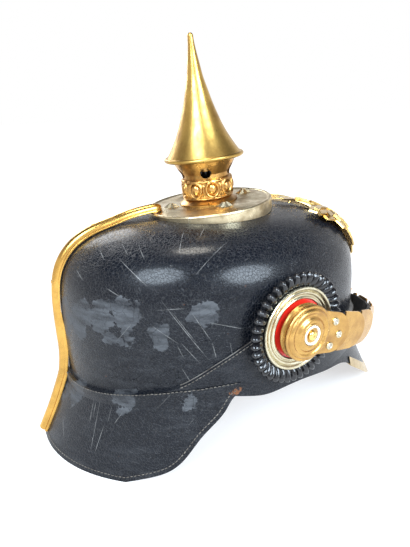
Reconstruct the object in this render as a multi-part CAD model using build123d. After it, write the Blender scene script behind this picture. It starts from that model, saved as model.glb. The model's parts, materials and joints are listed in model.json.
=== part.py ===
from build123d import *
import os
from math import asin, atan, cos, degrees, hypot, radians, sin

os.makedirs("parts", exist_ok=True)

# Lengths are in millimetres and angles in degrees.
# The helmet stands on the table at Z = 0, on its neck guard and its front visor.
# The leather shell is upright round the Z axis: -Y is the front, -X the wearer's right.

# Leather shell: an oval wall up to the belt, and the crown above it
shell_half_length = 117.0
shell_half_width = 93.0
shell_wall = 3.2
shell_rim_height = 54.0
shell_belt_height = 80.0
crown_rise = 76.6
crown_power = 3.8
crown_steps = 9
air_hole_radius = 12.0
seam_gap = 0.12

# Neck guard: a stitched band on the shell and a flared skirt below it
guard_leather = 3.0
guard_crease_height = 60.4
guard_crease_tilt = -8.7
guard_skirt_length = 142.3
guard_skirt_width = 104.0
guard_skirt_back = 0.6
guard_skirt_height = -1.9
skirt_tilt = -2.5
guard_rear_seam = 0.618
guard_seam_shares = [(0.180, 0.799), (0.325, 0.787), (0.579, 0.749), (0.792, 0.686), (0.986, guard_rear_seam),
                     (1.350, 0.537)]
guard_edge_shares = [(0.176, 0.711), (0.219, 0.680), (0.267, 0.589), (0.405, 0.392), (0.537, 0.177), (0.595, 0.116),
                     (0.663, 0.074), (0.748, 0.037), (0.857, -0.012), (1.015, -0.070), (1.350, -0.147)]
lining_leather = 0.8
lining_gap = 0.1
lining_set_in = 2.5

# Front visor: a stitched band on the shell and a peak below it
visor_leather = 2.3
visor_crease_height = 52.2
visor_crease_tilt = 1.5
visor_peak_length = 129.0
visor_peak_width = 97.0
visor_peak_back = -15.2
visor_peak_height = -9.2
visor_seam_shares = [(0.619, 0.754), (0.481, 0.807), (0.396, 0.879), (0.304, 0.963), (0.212, 1.040), (0.116, 1.118),
                     (-0.008, 1.193), (-0.167, 1.227), (-0.375, 1.160), (-0.593, 1.050), (-0.816, 0.960),
                     (-1.350, 0.915)]
visor_edge_shares = [(0.618, 0.697), (0.228, 0.684), (0.124, 0.652), (0.025, 0.633), (-0.065, 0.644), (-0.204, 0.659),
                     (-0.436, 0.620), (-0.617, 0.567), (-0.751, 0.447), (-0.896, 0.290), (-1.062, 0.110),
                     (-1.350, -0.054)]
overlap_gap = 0.35
trim_brass = 0.8
trim_height = 4.2
trim_start_share = -0.72

# Top plate, on the axis of the spike
spike_lean = 5.0
plate_back = -0.5
plate_height = 160.4
plate_radius = 46.8
plate_bead = 1.1
plate_sheet = 1.2
plate_hole_radius = 15.0
plate_valley_height = 1.4
plate_crown_height = 2.3
plate_seat_gap = 0.1
star_circle = 29.8
star_reach = 7.6
star_waist = 4.4
star_top_share = 0.22
star_height = 4.2
star_seat = 0.5
star_points = 6
star_post_radius = 1.5
post_clearance = 0.06
nut_radius = 3.6
nut_height = 2.4
nut_gap = 0.7
eagle_nut_gap = 2.3

# Spike neck with its air holes, above the plate's base
neck_wall = 1.2
neck_foot_radius = 21.5
neck_waist_radius = 17.2
neck_top_radius = 23.3
neck_foot_height = 2.3
neck_foot_rim = 3.3
neck_waist_height = 6.3
neck_flare_height = 20.9
neck_top_height = 33.5
neck_flare_shares = [(0.26, 0.10), (0.52, 0.42), (0.76, 0.72)]
vent_radius = 3.9
vent_height = 25.6
vent_count = 5
vent_turn = 158.0
band_foot_height = 6.4
band_height = 14.4
band_sheet = 0.9
egg_count = 9
egg_turn = 129.5
egg_half_width = 3.5
egg_half_height = 3.7
egg_rise = 1.6
egg_frame = 0.8
egg_frame_gap = 0.7
dart_width = 0.9
bead_radius = 0.9

# Spike, above its flange
spike_gap = 0.35
spike_flange_radius = 27.6
spike_flange_bead = 1.5
spike_tip_radius = 2.0
spike_rise = 82.6
spike_profile_shares = [(0.953, 0.046), (0.761, 0.149), (0.601, 0.255), (0.478, 0.360), (0.373, 0.463),
                        (0.290, 0.564), (0.210, 0.663), (0.159, 0.760), (0.109, 0.856), (0.076, 0.948)]
stud_radius = 5.0
stud_root = 14.0
stud_length = 20.0
socket_disc = 2.0
socket_boss_radius = 9.0
socket_depth = 8.0
running_fit = 0.05

# Rear spine: a flat strip with a raised ridge, over the plate's rim and down to the guard's edge
spine_width = 12.0
spine_sheet = 1.1
spine_ridge_width = 6.6
spine_ridge_height = 3.8
spine_gap = 0.4
spine_belt_gap = 0.7
spine_plate_cover = 10.0
spine_land_share = 0.72
spine_low_angle = 5.0
spine_foot_height = 2.6
screw_radius = 1.6
screw_head_radius = 2.7
screw_head_rise = 1.5
screw_angles = [56.0, 14.0]
screw_reach = 5.6

# Front plate: a spread eagle, drawn as seen from in front and above
eagle_view_tilt = 32.5
eagle_stand_off = 3.2
eagle_sheet = 1.1
eagle_relief = 1.3
eagle_half_span = 58.0
eagle_half_rise = 52.0
eagle_centre_reach = 96.7
eagle_centre_height = 118.5
feather_count = 7
feather_width = 5.2
tail_count = 5
shield_half_width = 9.0
shield_half_height = 11.0
eagle_post_radius = 1.6
eagle_post_spread = 24.0
eagle_post_reach = 86.0
eagle_post_rise = 52.0
wing_shares = [(0.08, 0.50), (0.20, 0.38), (0.33, 0.62), (0.50, 0.86), (0.70, 0.95), (0.78, 0.80), (0.88, 0.76),
               (0.80, 0.60), (0.88, 0.48), (0.78, 0.36), (0.82, 0.20), (0.72, 0.12), (0.68, -0.04), (0.57, -0.10),
               (0.54, -0.26), (0.46, -0.26), (0.45, -0.42), (0.38, -0.36), (0.35, -0.50), (0.30, -0.38),
               (0.24, -0.28), (0.22, -0.36), (0.32, -0.58), (0.30, -0.66), (0.17, -0.56), (0.20, -0.74),
               (0.34, -0.90), (0.20, -0.90), (0.14, -1.00), (0.07, -0.92), (0.00, -1.02)]
head_shares = [(0.10, 0.44), (0.12, 0.70), (0.10, 0.84), (0.15, 1.04), (0.06, 0.98), (0.00, 1.08), (-0.06, 0.98),
               (-0.15, 1.04), (-0.11, 0.84), (-0.24, 0.78), (-0.26, 0.68), (-0.13, 0.70), (-0.12, 0.44)]
neck_shares = [(-0.09, 0.30), (0.09, 0.30), (0.07, 0.80), (-0.03, 0.84), (-0.20, 0.75), (-0.09, 0.64)]
wing_bone_shares = [(0.10, 0.34), (0.24, 0.24), (0.40, 0.52), (0.58, 0.78), (0.70, 0.84), (0.66, 0.90),
                    (0.50, 0.80), (0.32, 0.52), (0.20, 0.34), (0.12, 0.44)]
leg_shares = [(0.12, -0.30), (0.20, -0.28), (0.30, -0.54), (0.24, -0.60)]
feather_roots = [(0.26, 0.30), (0.64, 0.74)]
feather_turns = [-78.0, 30.0]
feather_spans = [0.40, 0.24]
feather_drops = [0.72, 0.27]
tail_root = -0.52
tail_end = -0.92
tail_root_spread = 0.10
tail_end_spread = 0.44
tail_rise = 0.12
leaf_middle = 0.6
shield_drop = 0.02

# Cockade and rosette, along the line that stands out of the shell on each side
cockade_back = -18.6
cockade_height = 93.8
cockade_turn = 10.0
cockade_seat = 3.0
cockade_disc_radius = 39.0
cockade_disc = 1.0
fluted_inner_radius = 27.9
fluted_radius = 35.0
flute_count = 44
flute_rise = 2.3
flute_root = 0.4
silver_radius = 27.6
silver_inner_radius = 20.2
silver_rise = 1.7
silver_edge = 0.8
field_radius = 19.8
field_inner_radius = 9.6
field_sheet = 0.9
rosette_radius = 18.0
rosette_collar_radius = 9.0
rosette_collar_gap = 0.3
rosette_base = 8.0
rosette_step_shares = [(1.00, 0.75), (0.90, 0.86), (0.86, 0.80), (0.74, 0.95), (0.68, 0.88), (0.52, 1.00)]
rosette_height = 7.0
bolt_radius = 3.4
bolt_head_radius = 6.2
bolt_head_height = 1.1
bolt_ball_radius = 2.9
bolt_ball_rise = 2.2
bolt_end = 0.85
side_nut_radius = 7.6
side_nut_height = 2.6
side_nut_gap = 0.5

# Chin strap: a riveted tab, then arched scales on leather, on each side
strap_fall = 15.5
strap_height = 8.2
tab_length = 33.0
tab_root_width = 31.0
tab_end_width = 28.0
tab_sheet = 1.2
scale_count = 6
scale_end_width = 20.0
scale_sheet = 0.9
scale_arch = 1.4
scale_seat = 0.2
scale_overlap = 4.5
scale_clearance = 0.35
scale_shoulder_share = 0.72
strap_leather = 2.0
leather_margin = 1.6
hinge_gap = 0.5
strap_end_gap = 2.4
strap_end_length = 12.0
first_turn = 10.0
turn_step = 0.9
rivet_radius = 2.7
rivet_rise = 1.2
rivet_shank_radius = 1.3
rivet_places = [(0.66, 0.26), (0.84, -0.02), (0.66, -0.28)]
buckle_bar = 2.0
buckle_height = 1.6
buckle_margin = 2.4
tip_brass = 0.8

# Head lining
sweatband_leather = 1.4
sweatband_foot = 3.4
sweatband_head = 9.4
sweatband_top_height = 84.0
liner_inset = 11.0
liner_leather = 1.2
liner_foot_height = 82.0
liner_fingers = 9
finger_slot = 5.0
finger_slot_height = 104.0
finger_hole_radius = 16.0

# Room that a cutter reaches past the helmet
overrun = 60.0


def both_sides(solids):
    """The pieces of the right side and their mirror images on the left."""
    return solids + [mirror(solid, about=Plane.YZ) for solid in solids]


def cut(body, tools):
    for tool in tools:
        body -= tool
    return body


def button(radius, rise):
    """A round head with a domed top."""
    bow = (radius ** 2 + rise ** 2) / (2 * rise)
    half = asin(radius / bow) / 2
    side = ThreePointArc((radius, 0), (bow * sin(half), rise - bow * (1 - cos(half))), (0, rise))
    face = make_face([Line((0, 0), (radius, 0)).edge(), side.edge(), Line((0, rise), (0, 0)).edge()])
    return revolve(Plane.XZ * face, axis=Axis.Z)


def turned(points):
    """A turned piece from the outline of its half section."""
    return revolve(Plane.XZ * make_face(Polyline(*points, close=True)), axis=Axis.Z)


def crown_curve_point(angle, grow=0.0):
    """A point of the crown's side view, at an even offset from the leather."""
    power = 2 / crown_power
    along = (shell_half_length + grow) * max(cos(radians(angle)), 0) ** power
    up = shell_belt_height + (crown_rise + grow) * sin(radians(angle)) ** power
    return along, up


def crown_height(across, along, grow=0.0):
    """Height of the crown over a place in the plan."""
    out = hypot(across / (shell_half_width + grow), along / (shell_half_length + grow))
    return shell_belt_height + (crown_rise + grow) * (1 - out ** crown_power) ** (1 / crown_power)


def round_sheet(grow_out, grow_in, bottom):
    """A round sheet that becomes a layer of the oval shell when it is narrowed."""
    def points(grow):
        rows = [crown_curve_point(90.0 * step / crown_steps, grow) for step in range(crown_steps)]
        return rows + [(0, shell_belt_height + crown_rise + grow)]
    out = points(grow_out)
    inn = points(grow_in)
    curves = [Spline(*row, tangents=[(0, 1), (-1, 0)]) for row in (out, inn)]
    lines = [Line(out[-1], inn[-1]), Line(out[0], (out[0][0], bottom)), Line(inn[0], (inn[0][0], bottom)),
             Line((out[0][0], bottom), (inn[0][0], bottom))]
    face = make_face([curve.edge() for curve in curves + lines])
    return revolve(Plane.XZ * face, axis=Axis.Z)


def narrow_share(grow=0.0):
    return (shell_half_width + grow) / (shell_half_length + grow)


def narrowed(round_form, grow=0.0):
    return scale(round_form, by=(narrow_share(grow), 1, 1))


def side_region(upper_shares, lower_shares):
    """A cutter across the helmet, from two curves of its side view."""
    upper = [(shell_half_length * y, shell_belt_height * z) for y, z in upper_shares]
    lower = [(shell_half_length * y, shell_belt_height * z) for y, z in lower_shares]
    edges = [Spline(*upper), Spline(*lower), Line(upper[0], lower[0]), Line(upper[-1], lower[-1])]
    face = Plane.YZ * make_face([edge.edge() for edge in edges])
    return extrude(face, shell_half_width + overrun, both=True)


def below(height, tilt=0.0):
    """The space below a level or tilted plane."""
    side = 2 * (shell_half_length + 2 * overrun)
    slab = Pos(0, 0, -overrun) * Box(side, side, 2 * overrun)
    return Location((0, 0, height), (tilt, 0, 0)) * slab


def oval_tube(grow_out, grow_in, bottom, top):
    """An upright oval wall round the shell."""
    outside = Ellipse(shell_half_width + grow_out, shell_half_length + grow_out)
    inside = Ellipse(shell_half_width + grow_in, shell_half_length + grow_in)
    return Pos(0, 0, bottom) * extrude(outside - inside, top - bottom)


def skirt(grow, crease, foot, half_axes):
    """A solid that widens from the shell at a crease down to a larger oval."""
    height, tilt = crease
    back, low = foot
    upper = Ellipse(shell_half_width + grow, (shell_half_length + grow) / cos(radians(tilt)))
    lower = Ellipse(half_axes[0] + grow, half_axes[1] + grow)
    upper_place = Location((0, 0, height), (tilt, 0, 0))
    lower_place = Location((0, back, low), (skirt_tilt, 0, 0))
    return loft([upper_place * upper, lower_place * lower], ruled=True)


def guard_region():
    return side_region(guard_seam_shares, guard_edge_shares)


def visor_region():
    return side_region(visor_seam_shares, visor_edge_shares)


def guard_skirt(grow):
    return skirt(grow, (guard_crease_height, guard_crease_tilt), (guard_skirt_back, guard_skirt_height),
                 (guard_skirt_width, guard_skirt_length))


def visor_skirt(grow):
    return skirt(grow, (visor_crease_height, visor_crease_tilt), (visor_peak_back, visor_peak_height),
                 (visor_peak_width, visor_peak_length))


def side_line():
    """The place of the right cockade on the shell, with Z standing out and Y up."""
    turn = radians(cockade_turn)
    reach = shell_half_width * (1 - (cockade_back / shell_half_length) ** 2) ** 0.5
    plane = Plane(origin=(-reach, cockade_back, cockade_height), x_dir=(sin(turn), -cos(turn), 0),
                  z_dir=(-cos(turn), -sin(turn), 0))
    return plane.location


def spike_line():
    """The seat of the top plate, with Z along the spike."""
    return Location((0, plate_back, plate_height), (-spike_lean, 0, 0))


def side_pegs(radius, share=1.0):
    """Round pegs along both side bolts; a share below one suits a form that is narrowed later."""
    turn = radians(cockade_turn)
    out = Vector(-cos(turn) / share, -sin(turn), 0)
    start = side_line().position
    wide = radius / (share * out.length)
    plane = Plane(origin=(start.X / share, start.Y, start.Z), x_dir=(out.Y, -out.X, 0), z_dir=out)
    return both_sides([extrude(plane * Ellipse(wide, radius), overrun / 2, both=True)])


def quarter_places(radius, share=1.0):
    """Four places on the top plate: left, rear, right and front."""
    turns = [radians(90.0 * step) for step in range(4)]
    return [spike_line() * Pos(radius * cos(turn) / share, radius * sin(turn), 0) for turn in turns]


def star_pegs(radius, share=1.0):
    peg = extrude(Ellipse(radius / share, radius), overrun / 2, both=True)
    return [place * peg for place in quarter_places(star_circle, share)]


def eagle_post_place(side, share=1.0):
    """Where a post of the front plate meets the leather, with Z standing out."""
    height = crown_height(eagle_post_spread, eagle_post_reach)
    rise = Location((0, 0, 0), (90.0 - eagle_post_rise, 0, 0))
    return Pos(side * eagle_post_spread / share, -eagle_post_reach, height) * rise


def eagle_pegs(radius, share=1.0):
    peg = extrude(Ellipse(radius / share, radius), overrun / 3, both=True)
    return [eagle_post_place(side, share) * peg for side in (-1, 1)]


def screw_place(angle):
    """Where a screw of the spine meets the leather, with Z standing out."""
    along, up = crown_curve_point(angle)
    ahead_along, ahead_up = crown_curve_point(angle + 1)
    slope = degrees(atan((ahead_up - up) / (along - ahead_along)))
    return Location((0, along, up), (-slope, 0, 0))


def screw_pegs(radius, share=1.0):
    peg = extrude(Ellipse(radius / share, radius), overrun / 3, both=True)
    return [screw_place(angle) * peg for angle in screw_angles]


def make_shell():
    share = narrow_share()
    pegs = side_pegs(bolt_radius + post_clearance, share) + star_pegs(star_post_radius + post_clearance, share)
    pegs += eagle_pegs(eagle_post_radius + post_clearance, share) + screw_pegs(screw_radius + post_clearance, share)
    pegs += [extrude(Pos(0, 0, shell_belt_height) * Ellipse(air_hole_radius / share, air_hole_radius), 2 * overrun)]
    return [narrowed(cut(round_sheet(0, -shell_wall, shell_rim_height), pegs))]


def make_neck_guard():
    band = oval_tube(seam_gap + guard_leather, seam_gap, 0, shell_belt_height)
    band -= below(guard_crease_height, guard_crease_tilt)
    wall = band + (guard_skirt(seam_gap + guard_leather) - guard_skirt(seam_gap))
    return [(wall & guard_region()) - below(0)]


def make_guard_lining():
    skin = guard_skirt(-lining_gap) - guard_skirt(-lining_gap - lining_leather)
    skin &= Pos(0, lining_set_in, lining_set_in) * guard_region()
    return [(skin & below(shell_rim_height - lining_gap)) - below(lining_set_in)]


def visor_wall(swell):
    """The visor's leather, thickened evenly on both faces."""
    band = oval_tube(seam_gap + visor_leather + swell, seam_gap - swell, 0, shell_belt_height + overrun / 2)
    band -= below(visor_crease_height, visor_crease_tilt)
    peak = visor_skirt(seam_gap + visor_leather + swell) - visor_skirt(seam_gap - swell)
    return band + peak


def make_front_visor():
    body = (visor_wall(0) & visor_region()) - below(trim_brass)
    guard = guard_region()
    shifts = [Pos(0, -overlap_gap, 0), Pos(0, 0, overlap_gap), Pos(0, -overlap_gap, overlap_gap)]
    body = cut(body, [guard] + [shift * guard for shift in shifts])
    return [cut(body, side_pegs(bolt_radius + post_clearance))]


def make_visor_lining():
    skin = visor_skirt(-lining_gap) - visor_skirt(-lining_gap - lining_leather)
    skin &= Pos(0, -trim_height / 2 - lining_gap, trim_height + lining_gap) * visor_region()
    front = Pos(0, -shell_half_length - overrun, 0) * Box(4 * overrun, 2 * shell_half_length, 4 * overrun)
    return [((skin & front) & below(shell_rim_height - lining_gap)) - below(trim_brass + lining_set_in)]


def make_visor_trim(visor):
    skin = visor_skirt(seam_gap + visor_leather + trim_brass) - visor_skirt(seam_gap - trim_brass)
    region = visor_region()
    strip = (Pos(0, trim_brass / 2, -trim_brass) * region) - (Pos(0, -trim_height / 2, trim_height) * region)
    start = shell_half_length * trim_start_share
    front = Pos(0, start - shell_half_length, 0) * Box(4 * overrun, 2 * shell_half_length, 4 * overrun)
    return [((skin & strip & front) - below(0)) - visor]


def make_top_plate():
    rim = plate_radius - plate_bead
    upper = Spline((plate_hole_radius, plate_crown_height), (star_circle, plate_valley_height),
                   (rim, plate_valley_height))
    under = plate_valley_height - plate_sheet
    lower = Spline((plate_hole_radius, plate_crown_height - plate_sheet), (star_circle, under), (rim, under))
    ends = [Line(upper @ 0, lower @ 0), Line(upper @ 1, lower @ 1)]
    disc = revolve(Plane.XZ * make_face([edge.edge() for edge in [upper, lower, *ends]]), axis=Axis.Z)
    bead = Pos(0, 0, plate_valley_height - plate_bead / 2) * Torus(rim, plate_bead)
    skirt_depth = 2 * plate_radius * sin(radians(spike_lean))
    wall = Cylinder(plate_radius, skirt_depth) - Cylinder(plate_radius - plate_sheet, skirt_depth)
    wall = Pos(0, 0, plate_valley_height - plate_bead / 2 - skirt_depth / 2) * wall
    plate = spike_line() * (disc + bead + wall)
    middle = crown_height(0, plate_radius) + plate_seat_gap
    side = crown_height(plate_radius, 0) + plate_seat_gap
    arc = ThreePointArc((-plate_radius, side), (0, middle), (plate_radius, side))
    deep = middle - overrun
    lines = [Line((-plate_radius, side), (-plate_radius, deep)), Line((-plate_radius, deep), (plate_radius, deep)),
             Line((plate_radius, deep), (plate_radius, side))]
    seat = extrude(Plane.XZ * make_face([edge.edge() for edge in [arc, *lines]]), 2 * plate_radius, both=True)
    seat += Pos(0, 0, deep) * Box(4 * plate_radius, 4 * plate_radius, overrun)
    return [cut(plate - seat, star_pegs(star_post_radius))]


def star_outline(share):
    """A star with straight points, at a share of its full size."""
    corners = []
    for step in range(2 * star_points):
        reach = share * (star_reach if step % 2 == 0 else star_waist)
        turn = radians(180.0 * step / star_points)
        corners.append((reach * cos(turn), reach * sin(turn)))
    return make_face(Polyline(*corners, close=True))


def star_nut_depth(place):
    """How far under the plate the leather's inner face lies at this place."""
    spot = place.position
    return (spot.Z - crown_height(spot.X, spot.Y, -shell_wall)) / cos(radians(spike_lean))


def make_star_studs():
    studs = []
    for place in quarter_places(star_circle):
        star = loft([star_outline(1), Pos(0, 0, star_height) * star_outline(star_top_share)], ruled=True)
        depth = star_nut_depth(place) + nut_gap + nut_height + star_post_radius / 2
        seat = plate_valley_height + star_seat
        post = Pos(0, 0, (seat - depth) / 2) * Cylinder(star_post_radius, seat + depth)
        studs.append(place * (Pos(0, 0, seat) * star + post))
    return studs


def hexagon_nut(radius, height, bore):
    return extrude(RegularPolygon(radius, 6) - Circle(bore), -height)


def make_crown_nuts():
    nuts = []
    for place in quarter_places(star_circle):
        seat = place * Pos(0, 0, -star_nut_depth(place) - nut_gap)
        nuts.append(seat * hexagon_nut(nut_radius, nut_height, star_post_radius))
    for side in (-1, 1):
        seat = eagle_post_place(side) * Pos(0, 0, -shell_wall - eagle_nut_gap)
        nuts.append(seat * hexagon_nut(nut_radius, nut_height, eagle_post_radius))
    return nuts


def make_spike_neck():
    swell = neck_top_radius - neck_waist_radius
    reach = neck_top_height - neck_flare_height
    flare = [(neck_waist_radius + swell * out, neck_flare_height + reach * up) for up, out in neck_flare_shares]
    curve = [(neck_waist_radius, neck_flare_height), *flare, (neck_top_radius, neck_top_height)]
    outer = [(neck_foot_radius, neck_foot_height), (neck_foot_radius, neck_foot_rim),
             (neck_waist_radius, neck_waist_height), *curve]
    inner = [(radius - neck_wall, height) for radius, height in reversed(curve)]
    inner += [(neck_waist_radius - neck_wall, neck_foot_height)]
    body = turned(outer + inner)
    for step in range(vent_count):
        turn = vent_turn + 360.0 * step / vent_count
        hole = Location((0, 0, vent_height), (0, 0, turn)) * Location((0, 0, 0), (0, 90, 0))
        body -= hole * Pos(0, 0, neck_top_radius) * Cylinder(vent_radius, neck_top_radius)
    return [spike_line() * body]


def make_egg_band():
    inner = neck_waist_radius + seam_gap
    outer = inner + band_sheet
    middle = band_foot_height + band_height / 2
    core = Cylinder(inner, 2 * band_height)
    ring = Cylinder(outer, band_height) - core
    raised = Cylinder(outer + bead_radius, band_height) - core
    ends = [Pos(0, 0, end * (band_height / 2 - bead_radius)) * (Torus(outer, bead_radius) - core) for end in (-1, 1)]
    arch = Ellipse(egg_half_width + egg_frame_gap + egg_frame, egg_half_height + egg_frame_gap + egg_frame)
    arch -= Ellipse(egg_half_width + egg_frame_gap, egg_half_height + egg_frame_gap)
    half_room = Pos(egg_half_width, 0) * Rectangle(2 * egg_half_width, 3 * egg_half_height)
    egg = revolve(Plane.XZ * (Ellipse(egg_half_width, egg_half_height) & half_room), axis=Axis.Z)
    egg = (Pos(outer + egg_rise - egg_half_width, 0, 0) * egg) - core
    arch = (Location((0, 0, 0), (90, 0, 90)) * extrude(arch, 2 * outer)) & raised
    dart = (Pos(outer, 0, 0) * Box(2 * bead_radius, dart_width, 2 * egg_half_height)) & raised
    ornaments = []
    for step in range(egg_count):
        turn = Location((0, 0, 0), (0, 0, egg_turn + 360.0 * step / egg_count))
        side = Location((0, 0, 0), (0, 0, egg_turn + 360.0 * (step + 0.5) / egg_count))
        ornaments += [turn * arch, turn * egg, side * dart]
    band = ring + [*ends, *ornaments]
    return [spike_line() * Pos(0, 0, middle) * band]


def make_spike_socket():
    bore = Cylinder(stud_radius + running_fit, 3 * socket_depth)
    disc = Pos(0, 0, neck_top_height - socket_disc / 2) * Cylinder(neck_top_radius - 3 * neck_wall, socket_disc)
    boss = Pos(0, 0, neck_top_height - socket_depth / 2) * Cylinder(socket_boss_radius, socket_depth)
    return [spike_line() * ((disc + boss) - Pos(0, 0, neck_top_height) * bore)]


def make_spike():
    bead = spike_flange_bead
    foot = [(0, 0), (spike_flange_radius, 0)]
    rim = ThreePointArc(foot[1], (spike_flange_radius + bead, bead), (spike_flange_radius - bead / 2, 2 * bead))
    points = [(spike_flange_radius * out, spike_rise * up) for out, up in spike_profile_shares]
    tip_start = (spike_tip_radius, spike_rise - spike_tip_radius)
    side = Spline(rim @ 1, *points, tip_start)
    tip_middle = (tip_start[0] * cos(radians(45)), tip_start[1] + spike_tip_radius * sin(radians(45)))
    tip = ThreePointArc(tip_start, tip_middle, (0, spike_rise))
    edges = [Line(*foot), rim, side, tip, Line((0, spike_rise), foot[0])]
    cone = revolve(Plane.XZ * make_face([edge.edge() for edge in edges]), axis=Axis.Z)
    cone -= Pos(0, 0, stud_root / 2) * Cylinder(stud_radius, stud_root)
    return [spike_line() * Pos(0, 0, neck_top_height + spike_gap) * cone]


def make_spike_stem():
    length = stud_root + stud_length
    stem = Pos(0, 0, stud_root - length / 2) * Cylinder(stud_radius, length)
    stem -= Pos(0, 0, stud_root - length) * Cylinder(stud_radius / 2, stud_radius)
    return [spike_line() * Pos(0, 0, neck_top_height + spike_gap) * stem]


def spine_points():
    """Side view of the line on which the spine lies, from the top plate to the guard's edge."""
    lean = radians(spike_lean)
    rim = plate_radius + plate_bead
    lift = plate_valley_height + plate_bead + spine_gap
    start = rim - spine_plate_cover
    points = [(plate_back + reach * cos(lean) + lift * sin(lean), plate_height - reach * sin(lean) + lift * cos(lean))
              for reach in (start, rim)]
    steps = [90.0 * spine_land_share * (1 - step / crown_steps) for step in range(crown_steps)]
    points += [crown_curve_point(angle, spine_gap) for angle in steps if angle > spine_low_angle]
    out = seam_gap + guard_leather + spine_gap
    crease = guard_crease_height + shell_half_length * sin(radians(guard_crease_tilt))
    foot_reach = guard_skirt_back + (guard_skirt_length + out) * cos(radians(skirt_tilt))
    foot_height = guard_skirt_height + (guard_skirt_length + out) * sin(radians(skirt_tilt))
    run = (crease - spine_foot_height) / (crease - foot_height)
    seam = shell_belt_height * guard_rear_seam
    points += [(shell_half_length + spine_belt_gap, shell_belt_height),
               (shell_half_length + spine_belt_gap, (shell_belt_height + seam) / 2), (shell_half_length + out, seam),
               (shell_half_length + out + 3 * spine_gap, crease)]
    foot_along = shell_half_length + out + run * (foot_reach - shell_half_length - out)
    middle = ((shell_half_length + out + foot_along) / 2, (crease + spine_foot_height) / 2)
    return points + [middle, (foot_along, spine_foot_height)]


def offset_points(points, distance):
    """The points of a line, moved to its outer side."""
    moved = []
    for index, (along, up) in enumerate(points):
        before = points[max(index - 1, 0)]
        after = points[min(index + 1, len(points) - 1)]
        step = (after[0] - before[0], after[1] - before[1])
        size = hypot(*step)
        moved.append((along - distance * step[1] / size, up + distance * step[0] / size))
    return moved


def side_strip(points, low, high, width):
    """A strip along the middle of the helmet, between two offsets of a line."""
    inner = offset_points(points, low)
    outer = offset_points(points, high)
    edges = [Spline(*inner), Spline(*outer), Line(inner[0], outer[0]), Line(inner[-1], outer[-1])]
    face = Plane.YZ * make_face([edge.edge() for edge in edges])
    return extrude(face, width / 2, both=True)


def make_rear_spine():
    points = spine_points()
    flat = side_strip(points, 0, spine_sheet, spine_width)
    ridge = side_strip(points, spine_sheet / 2, spine_sheet + spine_ridge_height, spine_ridge_width)
    return [cut(flat + ridge, screw_pegs(screw_radius))]


def make_spine_screws():
    top = spine_gap + spine_sheet + spine_ridge_height + seam_gap
    shank = Pos(0, 0, (top - screw_reach) / 2) * Cylinder(screw_radius, top + screw_reach)
    screw = shank + Pos(0, 0, top) * button(screw_head_radius, screw_head_rise)
    return [screw_place(angle) * screw for angle in screw_angles]


def eagle_face(shares):
    """A part of the eagle's outline on its drawing plane."""
    points = [(eagle_half_span * x / narrow_share(eagle_stand_off), eagle_half_rise * v) for x, v in shares]
    return make_face(Polyline(*points, close=True))


def eagle_prism(faces):
    """The outline as a block that stands on the drawing plane."""
    tilt = radians(eagle_view_tilt)
    plane = Plane(origin=(0, -eagle_centre_reach, eagle_centre_height), x_dir=(1, 0, 0),
                  z_dir=(0, -cos(tilt), sin(tilt)))
    return [extrude(plane * face, overrun, both=True) for face in faces]


def mirrored_shares(shares):
    return [(-x, v) for x, v in reversed(shares)]


def bar_shares(root, end, width):
    """A slim leaf shape from a root to an end."""
    step = (end[0] - root[0], end[1] - root[1])
    size = hypot(*step)
    side = (-step[1] / size * width / eagle_half_span, step[0] / size * width / eagle_half_rise)
    middle = (root[0] + step[0] * leaf_middle, root[1] + step[1] * leaf_middle)
    left = (middle[0] - side[0] / 2, middle[1] - side[1] / 2)
    right = (middle[0] + side[0] / 2, middle[1] + side[1] / 2)
    return [root, left, end, right]


def between(pair, share):
    """A value at a share of the way from the first to the second of a pair."""
    return pair[0] + (pair[1] - pair[0]) * share


def eagle_relief_faces():
    """Feathers, tail, shield and head that stand up from the plate."""
    faces = []
    for index in range(feather_count):
        share = index / (feather_count - 1)
        across, up = [between(values, share) for values in zip(*feather_roots)]
        turn = radians(between(feather_turns, share))
        end = (across + between(feather_spans, share) * cos(turn), up + between(feather_drops, share) * sin(turn))
        root = (across, up)
        faces.append(bar_shares(root, end, feather_width))
    for index in range(tail_count):
        spread = index / (tail_count - 1) - 1 / 2
        end = (tail_end_spread * spread, tail_end + tail_rise * abs(spread))
        faces.append(bar_shares((tail_root_spread * spread, tail_root), end, feather_width))
    sides = [wing_bone_shares, leg_shares]
    mirrored = [mirrored_shares(face) for face in faces[:feather_count] + sides]
    return [eagle_face(face) for face in faces + sides + mirrored]


def make_front_plate():
    outline = wing_shares + mirrored_shares(wing_shares[:-1])
    sheet = round_sheet(eagle_stand_off + eagle_sheet, eagle_stand_off, shell_rim_height)
    low, high = eagle_stand_off + eagle_sheet / 2, eagle_stand_off + eagle_sheet + eagle_relief
    raised = round_sheet(high, low, shell_rim_height)
    body = sheet & (eagle_prism([eagle_face(outline)])[0] + eagle_prism([eagle_face(head_shares)])[0])
    rear = Pos(0, 2 * shell_half_length, 0) * Box(4 * shell_half_length, 4 * shell_half_length, 4 * shell_half_length)
    raised -= rear
    body -= rear
    width = shield_half_width / narrow_share(eagle_stand_off)
    shield = Pos(0, -eagle_half_rise * shield_drop) * Ellipse(width, shield_half_height)
    relief = eagle_relief_faces() + [shield, eagle_face(neck_shares)]
    for prism in eagle_prism(relief):
        body += raised & prism
    return [narrowed(body, eagle_stand_off)]


def make_eagle_posts():
    out = eagle_stand_off - seam_gap
    reach = shell_wall + eagle_nut_gap + nut_height + eagle_post_radius / 2
    post = Pos(0, 0, (out - reach) / 2) * Cylinder(eagle_post_radius, out + reach)
    return [eagle_post_place(side) * post for side in (-1, 1)]


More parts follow.
